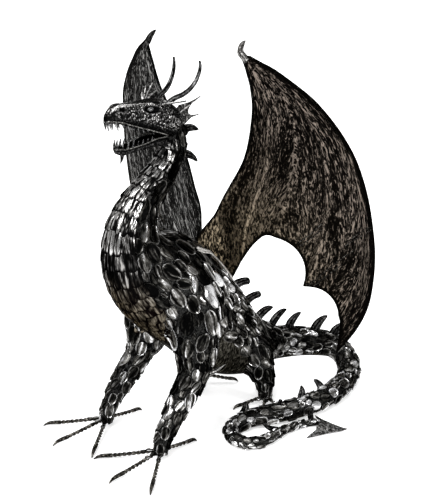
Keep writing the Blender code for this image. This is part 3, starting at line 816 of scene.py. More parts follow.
# Rounds of laying plates: their scale, how many places are tried, how much they may grow afterwards.
LAYING_ROUNDS = ((1.0, 16000, 1.25), (0.60, 16000, 1.30), (0.34, 14000, 1.40))
LAID_GAP, GROWN_GAP = 0.94, 0.90  # how near two plates come, 1 when they just touch
TAIL_UNDERSIDE = -0.45  # the tail is bare where its skin faces down more than this
LOWEST_PLATE = 0.012


def lay_plates(surface):
    """Plates over the whole skin: large ones first, then smaller ones in the gaps."""
    bed = Bed()
    for scale, tries, most in LAYING_ROUNDS:
        for _ in range(tries):
            spot, normal = surface.sample()
            local = spot - SHIFT
            run, index, way = flow(local)
            size = plate_size(run, index, local)
            bare = run.name == "tail" and normal.z < TAIL_UNDERSIDE
            if size is None or bare or local.z < LOWEST_PLATE:
                continue
            grow = scale * rng.uniform(0.82, 1.18)
            long, wide = size[0] * grow, size[1] * grow * rng.uniform(0.9, 1.1)
            turned = way + normal.cross(way) * rng.gauss(0.0, 0.24)
            turned = (turned - normal * turned.dot(normal)).normalized()
            region = run.name.split("_")[0]
            plate = Plate(region, spot, turned, normal, long, wide, size[2], scale)
            if bed.room(plate) > LAID_GAP:
                bed.add(plate)
        bed.swell(most)
    return bed.laid


# How bright the plates of each region are ground: darkest and brightest.
REGION_SHADES = {"trunk": (0.03, 0.87), "front": (0.05, 1.04), "rear": (0.0, 0.66), "tail": (0.10, 1.04)}
POLISHED_SHARE, POLISHED = 0.09, 0.98  # so many plates are ground nearly as bright as can be
# The small plates that fill the gaps are painted dark, as the shade between the large plates.
FILLER = 0.5  # plates scaled below this fill gaps, and stay dark
FILLER_SHADE = 0.35
NECK_HEIGHT, NECK_DARKER = 0.88, 0.55  # above this height the plates turn darker by this share
# Trunk and front-leg plates are painted lighter in a band at this height, as a highlight about the
# shoulders.
SHOULDER_HIGHLIGHT_HEIGHT = 0.60  # where trunk and shoulder are brightest


def plate_shade(plate, darkest, brightest):
    """How bright a plate is ground, with a painted highlight band about the shoulders and painted shade
    on the gap fillers.
    """
    shade = darkest + (brightest - darkest) * rng.random() ** (0.9 if plate.scale > FILLER else 1.8)
    if rng.random() < POLISHED_SHARE:
        shade = POLISHED * brightest
    shade *= 1 - NECK_DARKER * ease((plate.spot.z - NECK_HEIGHT) / 0.10)
    # Painted highlight: lighter about the shoulders, darker above and below.
    if plate.region in ("trunk", "front"):
        shade *= 0.76 + 0.46 * bell(plate.spot.z - SHOULDER_HIGHLIGHT_HEIGHT, 0.13)
    return shade if plate.scale > FILLER else shade * FILLER_SHADE


def make_plates(surface):
    plates = lay_plates(surface)
    for region, shades in REGION_SHADES.items():
        bm = bmesh.new()
        for plate in plates:
            if plate.region != region:
                continue
            template = rng.choice(ROUND_LEAVES if plate.rounded else LEAVES)
            shade = plate_shade(plate, *shades)
            tall = min(0.0062, 0.17 * plate.wide) * (0.6 + 0.4 * plate.scale)
            size = plate.long, plate.wide
            stamp(bm, template, plate.spot, plate.way, plate.normal, *size, shade, surface, tall)
        piece(bm, region + "_plates", PLATE, "skin_steel", sharp=32)


# ---------------------------------------------------------------- throat plates


FIRST_SCUTE = 0.045  # metres down the middle line
SCUTE_ROWS, SCUTE_COLUMNS = 10, 72
SCUTE_SINK = 0.004  # how deep the rim of a row is set into the skin


def make_scutes(surface):
    """Plates down the throat and breast, each row tucked under the one above it."""
    parts = []
    metres = FIRST_SCUTE
    while metres < BELLY_START:
        low = ease((metres - LOW_START) / 0.06)
        tall = 0.049 - 0.008 * low
        parts.append(scute_row(surface, metres, tall, len(parts), low))
        metres += tall * 0.94
    piece(join(*parts), "throat_plates", SCUTE, "skin_steel", sharp=50)


def scute_row(surface, start, tall, row, low):
    """One row: plates of unlike widths, fluted on the throat and flat squares on the breast."""
    half = throat_half(start)
    radius = trunk_station(start)[2]
    wide = 2 * math.radians(half) * radius
    count = max(4, round(wide / (0.020 + 0.016 * low)))
    spans = [0.0]
    for _ in range(count):
        spans.append(spans[-1] + rng.uniform(0.65, 1.35))
    edges = [span / spans[-1] for span in spans]
    limits = (0.4, 1.0), (-0.005, 0.005), (0.35, 1.0)
    deep, hang, tone = ([rng.uniform(least, most) for _ in range(count)] for least, most in limits)
    flute_height = 0.0050 - 0.0030 * low

    def place(share, turn):
        number = min(count - 1, max(0, bisect.bisect_right(edges, turn) - 1))
        inside = (turn - edges[number]) / (edges[number + 1] - edges[number])
        arch = math.sin(math.pi * min(1.0, max(0.0, inside)))
        flute = arch**0.5
        sag = hang[number] * arch + 0.0045 * arch
        metres = start - 0.007 + (tall + 0.010) * share + sag * share
        middle, front, _ = trunk_station(metres)
        angle = math.radians(throat_half(metres) + 1.0) * (2 * turn - 1)
        ray = front * math.cos(angle) + Vector((math.sin(angle), 0, 0))
        hit, normal, _, _ = surface.tree.ray_cast(middle + SHIFT, ray.normalized(), 0.4)
        if hit is None:
            hit, normal = surface.nearest(middle + SHIFT + ray * 0.1)
        if normal.dot(ray) < 0:
            normal = -normal
        edge = ease((share - 0.86) / 0.14)
        rise = 0.0005 + 0.0055 * share
        rise += flute_height * deep[number] * flute * (0.5 + 0.5 * share)
        rise -= 0.0025 * edge
        rise += 0.0014 * noise.noise(hit * 90.0)
        # Painted shade: the polish fades out along a row's lower edge and where it tucks under the row
        # above, so the seams read black.
        crest = ease(2.2 * flute - 0.5) * tone[number] * (1 - edge) * ease((share - 0.12) / 0.10)
        return hit + normal * rise, crest

    def foot(corner):
        spot, normal = surface.nearest(corner)
        return spot - normal * SCUTE_SINK, 0.0

    bm = grid(SCUTE_ROWS, SCUTE_COLUMNS, place)
    lowness = bm.verts.layers.float.new("low")
    for vert in bm.verts:
        vert[lowness] = low
    lay = bm.loops.layers.uv["lay"]
    for face in bm.faces:
        for loop in face.loops:
            turn, share = loop[lay].uv
            loop[lay].uv = (turn * wide + 0.37 * row, share * tall + 0.91 * row)
    skirted(bm, foot)
    return bm


# ---------------------------------------------------------------- wings

# Outline of the left wing as x, z.
LEADING_EDGE = (
    (0.253, 1.456), (0.257, 1.4), (0.258, 1.34), (0.249, 1.27), (0.227, 1.2), (0.195, 1.12),
    (0.158, 1.04), (0.11, 0.958), (0.058, 0.872), (0.024, 0.8), (0.009, 0.73), (0.004, 0.64),
)
OUTER_EDGE = (
    (0.285, 1.456), (0.365, 1.418), (0.43, 1.374), (0.495, 1.324), (0.548, 1.264), (0.596, 1.194),
    (0.634, 1.118), (0.662, 1.02), (0.677, 0.91), (0.682, 0.8), (0.671, 0.69), (0.645, 0.58),
    (0.595, 0.478), (0.52, 0.372), (0.508, 0.362),
)
ROOT_LINE = ((0.004, 0.640), (0.040, 0.596), (0.072, 0.560))
FIRST_ARCH = (
    (0.072, 0.56), (0.119, 0.637), (0.17, 0.712), (0.22, 0.766), (0.256, 0.789), (0.302, 0.786),
    (0.347, 0.773), (0.379, 0.75), (0.4, 0.712), (0.404, 0.668), (0.393, 0.612),
)
SECOND_ARCH = (
    (0.393, 0.612), (0.425, 0.615), (0.458, 0.615), (0.49, 0.603), (0.514, 0.578), (0.528, 0.54),
    (0.532, 0.489), (0.522, 0.425), (0.508, 0.362),
)
EDGE_SHARES = ((ROOT_LINE, 0.0, 2 / 18), (FIRST_ARCH, 2 / 18, 11 / 18), (SECOND_ARCH, 11 / 18, 1.0))
# Bulges of the right wing's outline: height, share of the width (0 leading edge, 1 outer edge), shift
# across X, spread of the height.
RIGHT_BULGES = (
    (0.975, 0, -0.035, 0.085), (0.86, 0, -0.02, 0.06), (1.215, 0, -0.02, 0.06),
    (1.225, 1, 0.022, 0.09),
)
RIBS = (0.20, 0.40, 0.61, 0.82)
WING_ROWS, WING_COLUMNS = 150, 126
SHEET_THICK = 0.004
WING_REACH = 0.9975  # keeps the hammered edge inside the outline
WING_HEIGHT = 0.95  # from the wrist down to the lowest tip


def wing_y(x, z):
    """The sheet leans back as it spreads. Its top and its root curl forward."""
    lean = 0.187 + 0.222 * x - 0.147 * z
    wrist_curl = 0.040 * max(0.0, (z - 1.15) / 0.31) ** 2
    root_curl = 0.100 * math.exp(-((x / 0.034) ** 2)) * ease((0.875 - z) / 0.15)
    hollow = 0.020 * math.exp(-(((x - 0.17) / 0.12) ** 2) - ((z - 1.08) / 0.13) ** 2)
    return lean - wrist_curl - root_curl + hollow


class Wing:
    """One wing as a patch: u across from the leading edge to the outer edge, v down from the wrist."""

    def __init__(self, side, sag, bulges):
        self.side, self.bulges = side, bulges
        self.leading = Line(LEADING_EDGE, axes=2)
        self.outer = Line(OUTER_EDGE, axes=2)
        foot, top = SECOND_ARCH[-1][1], FIRST_ARCH[4][1]
        self.trailing = []
        for line, first, last in EDGE_SHARES:
            dropped = [(x, z - sag * (z - foot) / (top - foot)) for x, z in line]
            self.trailing.append((Line(dropped, axes=2), first, last))

    def foot(self, u):
        for line, first, last in self.trailing:
            if u <= last + 1e-9:
                return line.at((u - first) / (last - first))
        return SECOND_ARCH[-1]

    def flat(self, u, v):
        """The patch point as x, z before it is bent."""
        a, b, foot = self.leading.at(v), self.outer.at(v), self.foot(u)
        a1, b1 = self.leading.at(1.0), self.outer.at(1.0)
        x, z = (
            a[i] * (1 - u) + b[i] * u + (foot[i] - a1[i] * (1 - u) - b1[i] * u) * v for i in range(2)
        )
        for height, edge, shift, spread in self.bulges:
            x += shift * (u if edge == 1 else 1 - u) * bell(z - height, spread)
        return x, z

    def point(self, u, v):
        x, z = self.flat(u, v)
        return Vector((self.side * x * WING_REACH, wing_y(x, z), z)) + SHIFT


EDGE_STEPS = 200  # spots along each border of a wing that a rim is measured from
RIB_WIDTH, RIM_WIDTH = 0.0085, 0.007
WARM_MIDDLE, WARM_REACH = Vector((0.10, 0.06, 0.66)) + SHIFT, 0.34  # the ochre root of the left wing


def make_wing(side, mark, sag, bulges):
    wing = Wing(side, sag, bulges)
    shares = [k / EDGE_STEPS for k in range(EDGE_STEPS + 1)]
    borders = [[wing.point(u, share) for share in shares] for u in (0, 1)]
    borders.append([wing.point(share, 1) for share in shares])
    edges = [tree_of(border) for border in borders]

    def place(v, u):
        spot = wing.point(u, v)
        width = math.dist(wing.flat(0, v), wing.flat(1, v))
        rib = max(bell((u - rib) * width, RIB_WIDTH) for rib in RIBS)
        near = min(edge.find(spot)[2] for edge in edges)
        rim = bell(near, RIM_WIDTH)
        hammer = noise.noise(spot * 55.0) * 0.0012 + noise.noise(spot * 9.0) * 0.0035
        ripple = noise.noise(Vector((u * 42.0, v * 9.0, 3.0 * side))) * 0.0016
        proud = 0.0035 * rib * ease(v / 0.06) + (hammer + ripple) * (1 - rim) * ease(v / 0.05)
        spot.y -= proud
        return spot, rib

    bm = grid(WING_ROWS, WING_COLUMNS, place)
    rim = bm.verts.layers.float.new("rim")
    warm = bm.verts.layers.float.new("warm")
    lay = bm.loops.layers.uv["lay"]
    for vert in bm.verts:
        down = vert.link_loops[0][lay].uv.y
        widths = (0.013 - 0.007 * down, 0.024 - 0.012 * ease((down - 0.8) / 0.2), 0.018)
        vert[rim] = max(1 - ease(edge.find(vert.co)[2] / wide) for edge, wide in zip(edges, widths))
        vert[warm] = 0.9 * bell((vert.co - WARM_MIDDLE).length, WARM_REACH) if side == 1 else 0.0
    lay_strokes(bm, wing, 1.0 if side == 1 else 0.80)
    finish = SHEET if side == 1 else GREY_SHEET
    obj = piece(bm, "wing_sheet_" + mark, finish, "wing_steel", "wing_" + mark, sharp=60)
    obj.data.attributes["crest"].name = "rib"
    solidified(obj, SHEET_THICK)
    piece(rim_bar(wing), "wing_rim_" + mark, SPIKE, "wing_steel")


def lay_strokes(bm, wing, coarse):
    """The chisel strokes' own layout in metres: away from the nearest rib, and down from the wrist."""
    lay = bm.loops.layers.uv["lay"]
    marks = (0.0, *RIBS, 1.0)
    for face in bm.faces:
        middle = sum((loop[lay].uv.x for loop in face.loops)) / len(face.loops)
        rib = min(range(len(marks)), key=lambda k: abs(marks[k] - middle))
        half = 2 * rib + (middle > marks[rib])
        for loop in face.loops:
            u, v = loop[lay].uv
            width = math.dist(wing.flat(0, v), wing.flat(1, v))
            away = abs(u - marks[rib]) * width
            down = v * WING_HEIGHT
            loop[lay].uv = ((away - 0.10 * down) * coarse + 1.7 * half, down * coarse + 0.31 * half)


RIM_SPOTS = 40


def rim_bar(wing):
    """The bar along the leading edge, thickest by the wrist."""
    rows = []
    for k in range(RIM_SPOTS + 1):
        v = k / RIM_SPOTS
        rows.append((*(wing.point(0.0, v) - SHIFT), 0.0046 - 0.0022 * v))
    return tube(Line(rows, 1), 90, 10, beaded(0.0, 0.05, 90))


WING_CLAW = (
    (0.272, -0.003, 1.438, 0.0128), (0.26, -0.008, 1.452, 0.0132), (0.247, -0.009, 1.463, 0.0125),
    (0.24, -0.003, 1.48, 0.0106), (0.238, 0.01, 1.493, 0.0075), (0.237, 0.022, 1.501, 0.002),
)
WING_WELD = (
    (0.094, -0.08, 0.745), (0.09, -0.059, 0.734), (0.08, -0.028, 0.72), (0.056, 0.012, 0.698),
    (0.039, 0.048, 0.678), (0.043, 0.07, 0.663), (0.054, 0.081, 0.65), (0.068, 0.095, 0.629),
    (0.078, 0.107, 0.608), (0.085, 0.116, 0.585),
)


def hammered(deep, ridges, seed):
    """A section for a bar: lengthwise ridges with a little hammer work over them."""

    def section(share, angle):
        ridge = abs(math.cos(angle * ridges / 2))
        rough = noise.noise(Vector((3 * math.cos(angle), 3 * math.sin(angle), 24 * share + seed)))
        return 1 - deep * (1 - ridge) + 0.5 * deep * rough, ridge

    return section


def make_wing_claw(side, mark):
    claw = tube(Line(sided(WING_CLAW, side)), 36, 16, hammered(0.16, 6, side))
    piece(claw, "wrist_claw_" + mark, CLAW if side == 1 else SPIKE, "bar_steel", "wing_claw_" + mark)


# Repairs welded across the wing sheet, as x, z.
SHEET_SEAMS = (
    ((0.568, 0.809), (0.619, 0.849), (0.673, 0.893)),
    ((0.577, 0.826), (0.628, 0.870), (0.673, 0.902)),
    ((0.400, 0.618), (0.427, 0.632), (0.483, 0.689), (0.546, 0.750), (0.602, 0.800)),
    ((0.435, 0.622), (0.495, 0.680), (0.557, 0.737)),
    ((0.382, 0.783), (0.442, 0.834), (0.488, 0.881)),
    ((0.389, 0.772), (0.449, 0.823), (0.499, 0.871)),
)
RIGHT_SEAM_DROP = 0.10  # how much lower the seams of the right wing run


def make_sheet_seams():
    """Thin weld lines across the front of each wing sheet."""
    parts = []
    for side, _ in SIDES:
        drop = 0.0 if side == 1 else RIGHT_SEAM_DROP
        for number, seam in enumerate(SHEET_SEAMS):
            rows = []
            for x, z in smooth_rows(seam, 6):
                rows.append((side * x, wing_y(x, z - drop) - 0.0022, z - drop, 0.0021))
            parts.append(tube(Line(rows, 1), 90, 6, beaded(0.5, 0.3, 190, number)))
    piece(join(*parts), "sheet_seams", BAR, "wing_steel")


# The two runs of the weld: how far each is moved, and its radius.
WELD_RUNS = ((0.0, 0.0044), (0.0105, 0.0034))
# Nearer to the skin than WELD_REACH a weld follows it, WELD_PROUD off it, on top of the plates.
WELD_REACH, WELD_PROUD = 0.03, 0.0105


def make_wing_welds(surface):
    """The double line of weld where each wing meets the back."""
    parts = []
    for side, _ in SIDES:
        for shift, radius in WELD_RUNS:
            laid = []
            for x, y, z in smooth_rows(sided(WING_WELD, side), 4):
                spot = Vector((x + side * shift * 0.4, y - shift * 0.4, z - shift)) + SHIFT
                foot, normal = surface.nearest(spot)
                foot = foot + normal * WELD_PROUD if (foot - spot).length < WELD_REACH else spot
                laid.append((*(foot - SHIFT), radius))
            parts.append(tube(Line(laid, 1), 150, 8, beaded(0.7, 0.22, 330)))
    piece(join(*parts), "wing_welds", WELD, "bar_steel")


# ---------------------------------------------------------------- feet

FRONT_ANKLE = (0.167, -0.325, 0.042)
REAR_ANKLES = ((0.127, 0.268, 0.042), (0.204, 0.209, 0.042))  # left, right
TOE_BAR = 0.0076
TOE_ROWS = (
    (0.05, 0.74, 0.92), (0.25, 0.62, 1.05), (0.5, 0.48, 1.0), (0.72, 0.38, 0.95), (0.85, 0.36, 0.9),
    (0.93, 0.28, 0.7), (1.0, 0.0, 0.25),
)
# Toes of each foot: turn outward from straight ahead in degrees, share of the reach.
FRONT_TOES = ((41, 1.0), (2, 1.0), (-40, 1.0), (180, 0.70))
REAR_TOES = (
    ((-16, 1.0), (40, 1.0), (84, 0.82), (232, 0.80)),  # left
    ((-24, 0.90), (16, 0.80), (56, 0.64), (229, 1.08)),  # right
)
FRONT_REACH, REAR_REACH = 0.2506, 0.150
ROPE_END, CLAW_START = 0.80, 0.70  # shares of a toe
ROPE_PITCH = 0.036
STRAND_OFF, STRAND_RADIUS = 0.0038, 0.0042
STRAND_FLOOR = 0.0043  # lowest middle of a strand
CLAW_SWELL = 1.1


def make_feet():
    for (side, mark), rear_ankle, rear_toes in zip(SIDES, REAR_ANKLES, REAR_TOES):
        front = ("front", FRONT_ANKLE, FRONT_REACH, FRONT_TOES)
        for end, ankle, reach, toes in (front, ("rear", rear_ankle, REAR_REACH, rear_toes)):
            for number, (turn, share) in enumerate(toes, 1):
                make_toe(f"{end}_{mark}_toe_{number}", side, ankle, reach * share, turn)


def make_toe(name, side, ankle, reach, turn):
    """Two rods twisted round each other, with a smooth hooked claw forged over their ends."""
    outward, forward = math.sin(math.radians(turn)), math.cos(math.radians(turn))
    rows = []
    for share, height, thick in TOE_ROWS:
        r = reach * share
        z = max(height * ankle[2], thick * TOE_BAR)
        rows.append((side * (ankle[0] + outward * r), ankle[1] - forward * r, z, thick * TOE_BAR))
    middle = Line(rows)
    twist = 2 * math.pi * reach / ROPE_PITCH
    strands = []
    steps = max(40, int(reach / 0.003))
    spine = [middle.at(ROPE_END * k / steps) for k in range(steps + 1)]
    axes = transported([Vector(row[:3]) for row in spine])
    for start in (0.0, math.pi):
        strand = []
        for k, (point, one, two) in enumerate(axes):
            angle = start + twist * k / steps * ROPE_END
            squeeze = 1 - 0.55 * ease((k / steps - 0.86) / 0.14)
            point = point + (one * math.cos(angle) + two * math.sin(angle)) * (STRAND_OFF * squeeze)
            strand.append((point.x, point.y, max(point.z, STRAND_FLOOR), STRAND_RADIUS * squeeze))
        strands.append(tube(Line(strand, 1), steps, 8, beaded(0.75)))
    whole = join(*strands, tube(middle, 26, 12, claw_section, CLAW_START))
    for vert in whole.verts:
        vert.co.z = max(vert.co.z, 0.0002)
    piece(whole, name.replace("toe", "claw_toe"), BAR, "bar_steel", name)


def claw_section(_, angle):
    """A little thicker than the rods it is forged over, and brightest along two lines."""
    return CLAW_SWELL, 0.35 + 0.4 * abs(math.cos(angle))


# Knuckles: share of the reach, length; and the reach and turns of the toes they sit on.
KNUCKLES = ((0.12, 0.030), (0.22, 0.024))
KNUCKLE_WIDTH, KNUCKLE_TALL = 0.017, 0.003
FRONT_KNUCKLES, REAR_KNUCKLES = (0.251, (41, 2, -40)), (0.150, (10, 50))


def make_knuckles(surface):
    """Small plates over the roots of the toes."""
    bm = bmesh.new()
    for (side, _), rear_ankle in zip(SIDES, REAR_ANKLES):
        for ankle, (reach, turns) in ((FRONT_ANKLE, FRONT_KNUCKLES), (rear_ankle, REAR_KNUCKLES)):
            for turn in turns:
                way = Vector((side * math.sin(math.radians(turn)), -math.cos(math.radians(turn)), -0.12))
                for step, long in KNUCKLES:
                    r = reach * step + 0.012
                    spot = Vector((side * ankle[0], ankle[1], 0.040 - 0.05 * r)) + way * r + SHIFT
                    normal = (UP - way * way.dot(UP)).normalized()
                    template, size = rng.choice(LEAVES), (long, KNUCKLE_WIDTH)
                    stamp(bm, template, spot, way, normal, *size, rng.random(), None, KNUCKLE_TALL)
    piece(bm, "knuckle_plates", PLATE, "skin_steel", sharp=32)


# ---------------------------------------------------------------- head

# Sections of skull and upper jaw from the snout back: y, underside, top, half width.
SKULL = (
    (-0.403, 1.244, 1.256, 0.009), (-0.397, 1.241, 1.269, 0.015), (-0.38, 1.239, 1.286, 0.022),
    (-0.354, 1.234, 1.298, 0.029), (-0.325, 1.223, 1.297, 0.033), (-0.285, 1.209, 1.295, 0.038),
    (-0.25, 1.197, 1.298, 0.045), (-0.21, 1.183, 1.301, 0.052), (-0.17, 1.168, 1.297, 0.053),
    (-0.13, 1.156, 1.28, 0.049), (-0.098, 1.163, 1.256, 0.04), (-0.08, 1.185, 1.232, 0.024),
)
# The same for the lower jaw, from its hinge forward to the chin.
JAW = (
    (-0.165, 1.128, 1.172, 0.044), (-0.215, 1.133, 1.17, 0.043), (-0.26, 1.132, 1.16, 0.039),
    (-0.305, 1.127, 1.153, 0.033), (-0.336, 1.122, 1.149, 0.026), (-0.357, 1.127, 1.15, 0.018),
    (-0.367, 1.136, 1.149, 0.008),
)
BROW_POWER = 0.80  # below 1 squares the section: flat cheeks, a flat forehead
BROW = (
    (0.0125, -0.38, 1.286), (0.016, -0.36, 1.293), (0.019, -0.3226, 1.2945),
    (0.0225, -0.285, 1.2945), (0.033, -0.252, 1.295), (0.043, -0.215, 1.295), (0.04, -0.18, 1.293),
    (0.031, -0.16, 1.286),
)
EYE_SPOT = Vector((0.0431, -0.2338, 1.2722))
NOSTRIL = Vector((0.0293, -0.3485, 1.2835))


def section_point(line, share, angle):
    """A spot of skull or jaw, and the way out of it."""
    y, low, high, half = line.at(share)
    across, rise = math.cos(angle), math.sin(angle)
    x = half * math.copysign(abs(across) ** BROW_POWER, across)
    z = (high - low) / 2 * math.copysign(abs(rise) ** BROW_POWER, rise)
    return Vector((x, y, (high + low) / 2 + z)), Vector((across, 0, rise))


BROW_TREE = tree_of([Vector(row) for row in smooth_rows(BROW, 6)])


def oval(spot, centre, long, tall, tilt):
    """How far a spot is from the middle of an oval on the cheek: 1 on its rim."""
    dy, dz = spot.y - centre.y, spot.z - centre.z
    a = dy * math.cos(tilt) + dz * math.sin(tilt)
    b = -dy * math.sin(tilt) + dz * math.cos(tilt)
    return math.hypot(a / long, b / tall)


def pebbles(spot, size):
    """0 between weld beads, 1 on the crown of one."""
    distances, _ = noise.voronoi(spot / size)
    return max(0.0, 1.0 - 1.25 * distances[0])


def skull_relief(spot, _):
    """How far the skull stands out or in at a spot, and how burnished it is, with painted shade in the
    eye sockets, the nostrils and low on the skull, and a painted highlight on the upper lids.
    """
    near = Vector((abs(spot.x), spot.y, spot.z))
    brow = bell(BROW_TREE.find(near)[2], 0.0058)
    side = ease((near.x - 0.012) / 0.012)
    socket = oval(near, EYE_SPOT, 0.034, 0.0140, -0.10)
    nostril = oval(near, NOSTRIL, 0.0150, 0.0070, 0.10)
    bead = pebbles(spot, 0.0068)
    smooth = ease((spot.z - 1.288) / 0.008) * (1 - ease((spot.y + 0.20) / 0.05))
    out = 0.0052 * brow * (1 - 0.6 * ease((-spot.y - 0.36) / 0.03))
    pit = side * (1 - ease((socket - 0.55) / 0.45))
    hole = side * (1 - ease((nostril - 0.45) / 0.5))
    lid = side * bell(socket - 1.12, 0.16)
    flare = side * bell(nostril - 1.25, 0.25)
    out += -0.0105 * pit - 0.0080 * hole + 0.0016 * lid + 0.0022 * flare
    quiet = max(pit, hole, brow, 0.75 * smooth, 0.8 * flare)
    out += 0.0023 * bead * (1 - quiet)
    out += 0.0015 * noise.noise(spot * 60.0)
    cheek = 0.75 + 0.45 * noise.noise(spot * 34.0)
    # Painted highlight: the upper half of each lid is lighter than the lower.
    upper_lid_highlight = 1 + 0.8 * ease((near.z - EYE_SPOT.z) / 0.006)
    crest = 0.12 + 1.25 * bead * (1 - quiet) * cheek
    crest += 0.85 * brow
    crest += 0.14 * lid * upper_lid_highlight
    crest += 0.35 * flare
    crest += 0.25 * smooth
    # Painted shade: black in the eye sockets and nostrils, and darker low on the skull towards the mouth.
    under = ease((spot.z - (1.222 + 0.30 * (-0.30 - spot.y))) / 0.03)
    crest *= (1 - 0.95 * max(pit, hole)) * (0.45 + 0.55 * under)
    return out, crest


def jaw_relief(spot, angle):
    """The same for the lower jaw, which is hollow on top, its upper half painted dark as shade under the
    upper jaw.
    """
    bead = pebbles(spot, 0.0060)
    trough = max(0.0, math.sin(angle)) ** 2 * (1 - abs(math.cos(angle)))
    rise = 0.0018 * bead - 0.008 * trough + 0.001 * noise.noise(spot * 60.0)
    # Painted shade: the crest darkens over the upper half of the jaw, under the upper jaw.
    return rise, (0.10 + 0.70 * bead) * (1 - 0.9 * max(0.0, math.sin(angle)))


def head_shell(sections, rows, columns, relief, fade):
    """Skull or jaw: a closed shell with its relief, which fades out at the ends."""
    line = Line(sections, 10, axes=1)

    def place(share, turn):
        angle = 2 * math.pi * turn
        spot, out = section_point(line, share, angle)
        rise, crest = relief(spot, angle)
        return spot + out * rise * fade(share) + SHIFT, crest

    return grid(rows, columns, place, closed=True)


def make_skull():
    bm = head_shell(SKULL, 170, 170, skull_relief, lambda s: min(1.0, s / 0.02, (1 - s) / 0.02))
    piece(bm, "skull", HEAD, "head_steel", "head", sharp=180)


def make_jaw():
    bm = head_shell(JAW, 110, 96, jaw_relief, lambda s: min(1.0, (1 - s) / 0.05))
    piece(bm, "jaw", HEAD, "head_steel", "lower_jaw", sharp=180)


LIP_RADIUS, LIP_BEAD = 0.0018, 0.0052


def upper_lip(side):
    """The lower edge of the upper jaw, from the snout back to the corner of the mouth."""
    rows = [(-0.402, 1.246, 0.004)] + [(y, low + 0.007, half * 0.97) for y, low, _, half in SKULL[1:9]]
    return Line([(side * half, y, z, LIP_RADIUS) for y, z, half in rows])


def lower_lip(side):
    rows = [(y, high - 0.004, half * 0.97) for y, _, high, half in JAW]
    rows.append((-0.369, 1.146, 0.001))
    return Line([(side * half, y, z, LIP_RADIUS) for y, z, half in rows[::-1]])


def beads_along(waves):
    """A section for a tube that is a row of beads."""
    return lambda share, angle: (0.78 + 0.45 * abs(math.sin(waves * share)), 0.6)


def make_lips():
    parts = []
    for side, _ in SIDES:
        for line in (upper_lip(side), lower_lip(side)):
            parts.append(tube(line, 260, 8, beads_along(line.length / LIP_BEAD * math.pi)))
    piece(join(*parts), "lip_beads", LIP, "head_steel")


def fang(root, way, back, long, thick):
    """A tooth that curves back to a point."""
    rows = []
    for k in range(6):
        share = k / 5
        spot = root + way * (long * share) + back * (long * 0.22 * share * share)
        rows.append((*spot, thick * (1 - share) ** 0.75 + 0.0003))
    return tube(Line(rows, 1), 6, 8, beaded(0.55))


# Teeth along each lip: share of its length, length.
UPPER_TEETH = (
    (0.035, 0.038), (0.095, 0.034), (0.17, 0.04), (0.26, 0.028), (0.34, 0.025), (0.42, 0.022),
    (0.5, 0.019), (0.58, 0.018), (0.66, 0.016), (0.74, 0.014),
)
LOWER_TEETH = (
    (0.06, 0.038), (0.15, 0.028), (0.24, 0.036), (0.33, 0.026), (0.42, 0.018), (0.51, 0.018),
    (0.6, 0.016), (0.69, 0.014),
)


def make_teeth():
    parts = []
    for side, _ in SIDES:
        for line, teeth, way in ((upper_lip(side), UPPER_TEETH, -1), (lower_lip(side), LOWER_TEETH, 1)):
            for share, long in teeth:
                x, y, z, _ = line.at(share)
                root = Vector((x - side * 0.0035, y + 0.001, z - way * 0.001))
                lean = Vector((-side * 0.06, -0.10 if share < 0.2 else 0.02, way)).normalized()
                thick = 0.0026 + 0.11 * (long - 0.012)
                parts.append(fang(root, lean, Vector((0, 1, 0)), long, thick))
    piece(join(*parts), "teeth", TOOTH, "bar_steel")


EYE_RADIUS, EYE_SINK = 0.0100, 0.0075  # a ball, and how far its middle lies inside the cheek


def make_eyes():
    balls = []
    for side, _ in SIDES:
        ball = bmesh.new()
        bmesh.ops.create_uvsphere(ball, u_segments=24, v_segments=16, radius=EYE_RADIUS)
        centre = Vector((side * (EYE_SPOT.x - EYE_SINK), EYE_SPOT.y, EYE_SPOT.z - 0.0005)) + SHIFT
        bmesh.ops.scale(ball, vec=(0.85, 1.30, 0.85), verts=ball.verts)
        bmesh.ops.translate(ball, vec=centre, verts=ball.verts)
        balls.append(ball)
    piece(join(*balls), "eyes", EYE, "head_steel")


HORN = (
    (0.028, -0.172, 1.27, 0.0105), (0.04, -0.136, 1.296, 0.0098), (0.05, -0.1, 1.309, 0.0092),
    (0.058, -0.072, 1.327, 0.0086), (0.064, -0.051, 1.352, 0.0079), (0.068, -0.038, 1.38, 0.0071),
    (0.07, -0.034, 1.403, 0.006), (0.069, -0.036, 1.422, 0.004),
)
CHIN_SPIKE = (
    (0, -0.338, 1.134, 0.01), (0, -0.336, 1.12, 0.0082), (0, -0.338, 1.106, 0.0056),
    (0, -0.345, 1.091, 0.0008),
)
ELBOW_SPUR = (
    (0.14, -0.11, 0.252, 0.0125), (0.148, -0.078, 0.254, 0.0118), (0.16, -0.04, 0.262, 0.009),
    (0.172, -0.003, 0.279, 0.001),
)


def make_bars():
    for side, mark in SIDES:
        for label, rows, node, finish in (
            ("swept_horn_", HORN, "horn_", HORN_STEEL),
            ("elbow_hook_", ELBOW_SPUR, "elbow_spur_", CLAW),
        ):
            bar = tube(Line(sided(rows, side)), 60, 20, hammered(0.20, 5, side))
            piece(bar, label + mark, finish, "bar_steel", node + mark)
    chin = tube(Line(CHIN_SPIKE), 24, 12, hammered(0.15, 4, 2))
    piece(chin, "chin_hook", SPIKE, "bar_steel", "chin_spike")


FAN_ROWS = 14


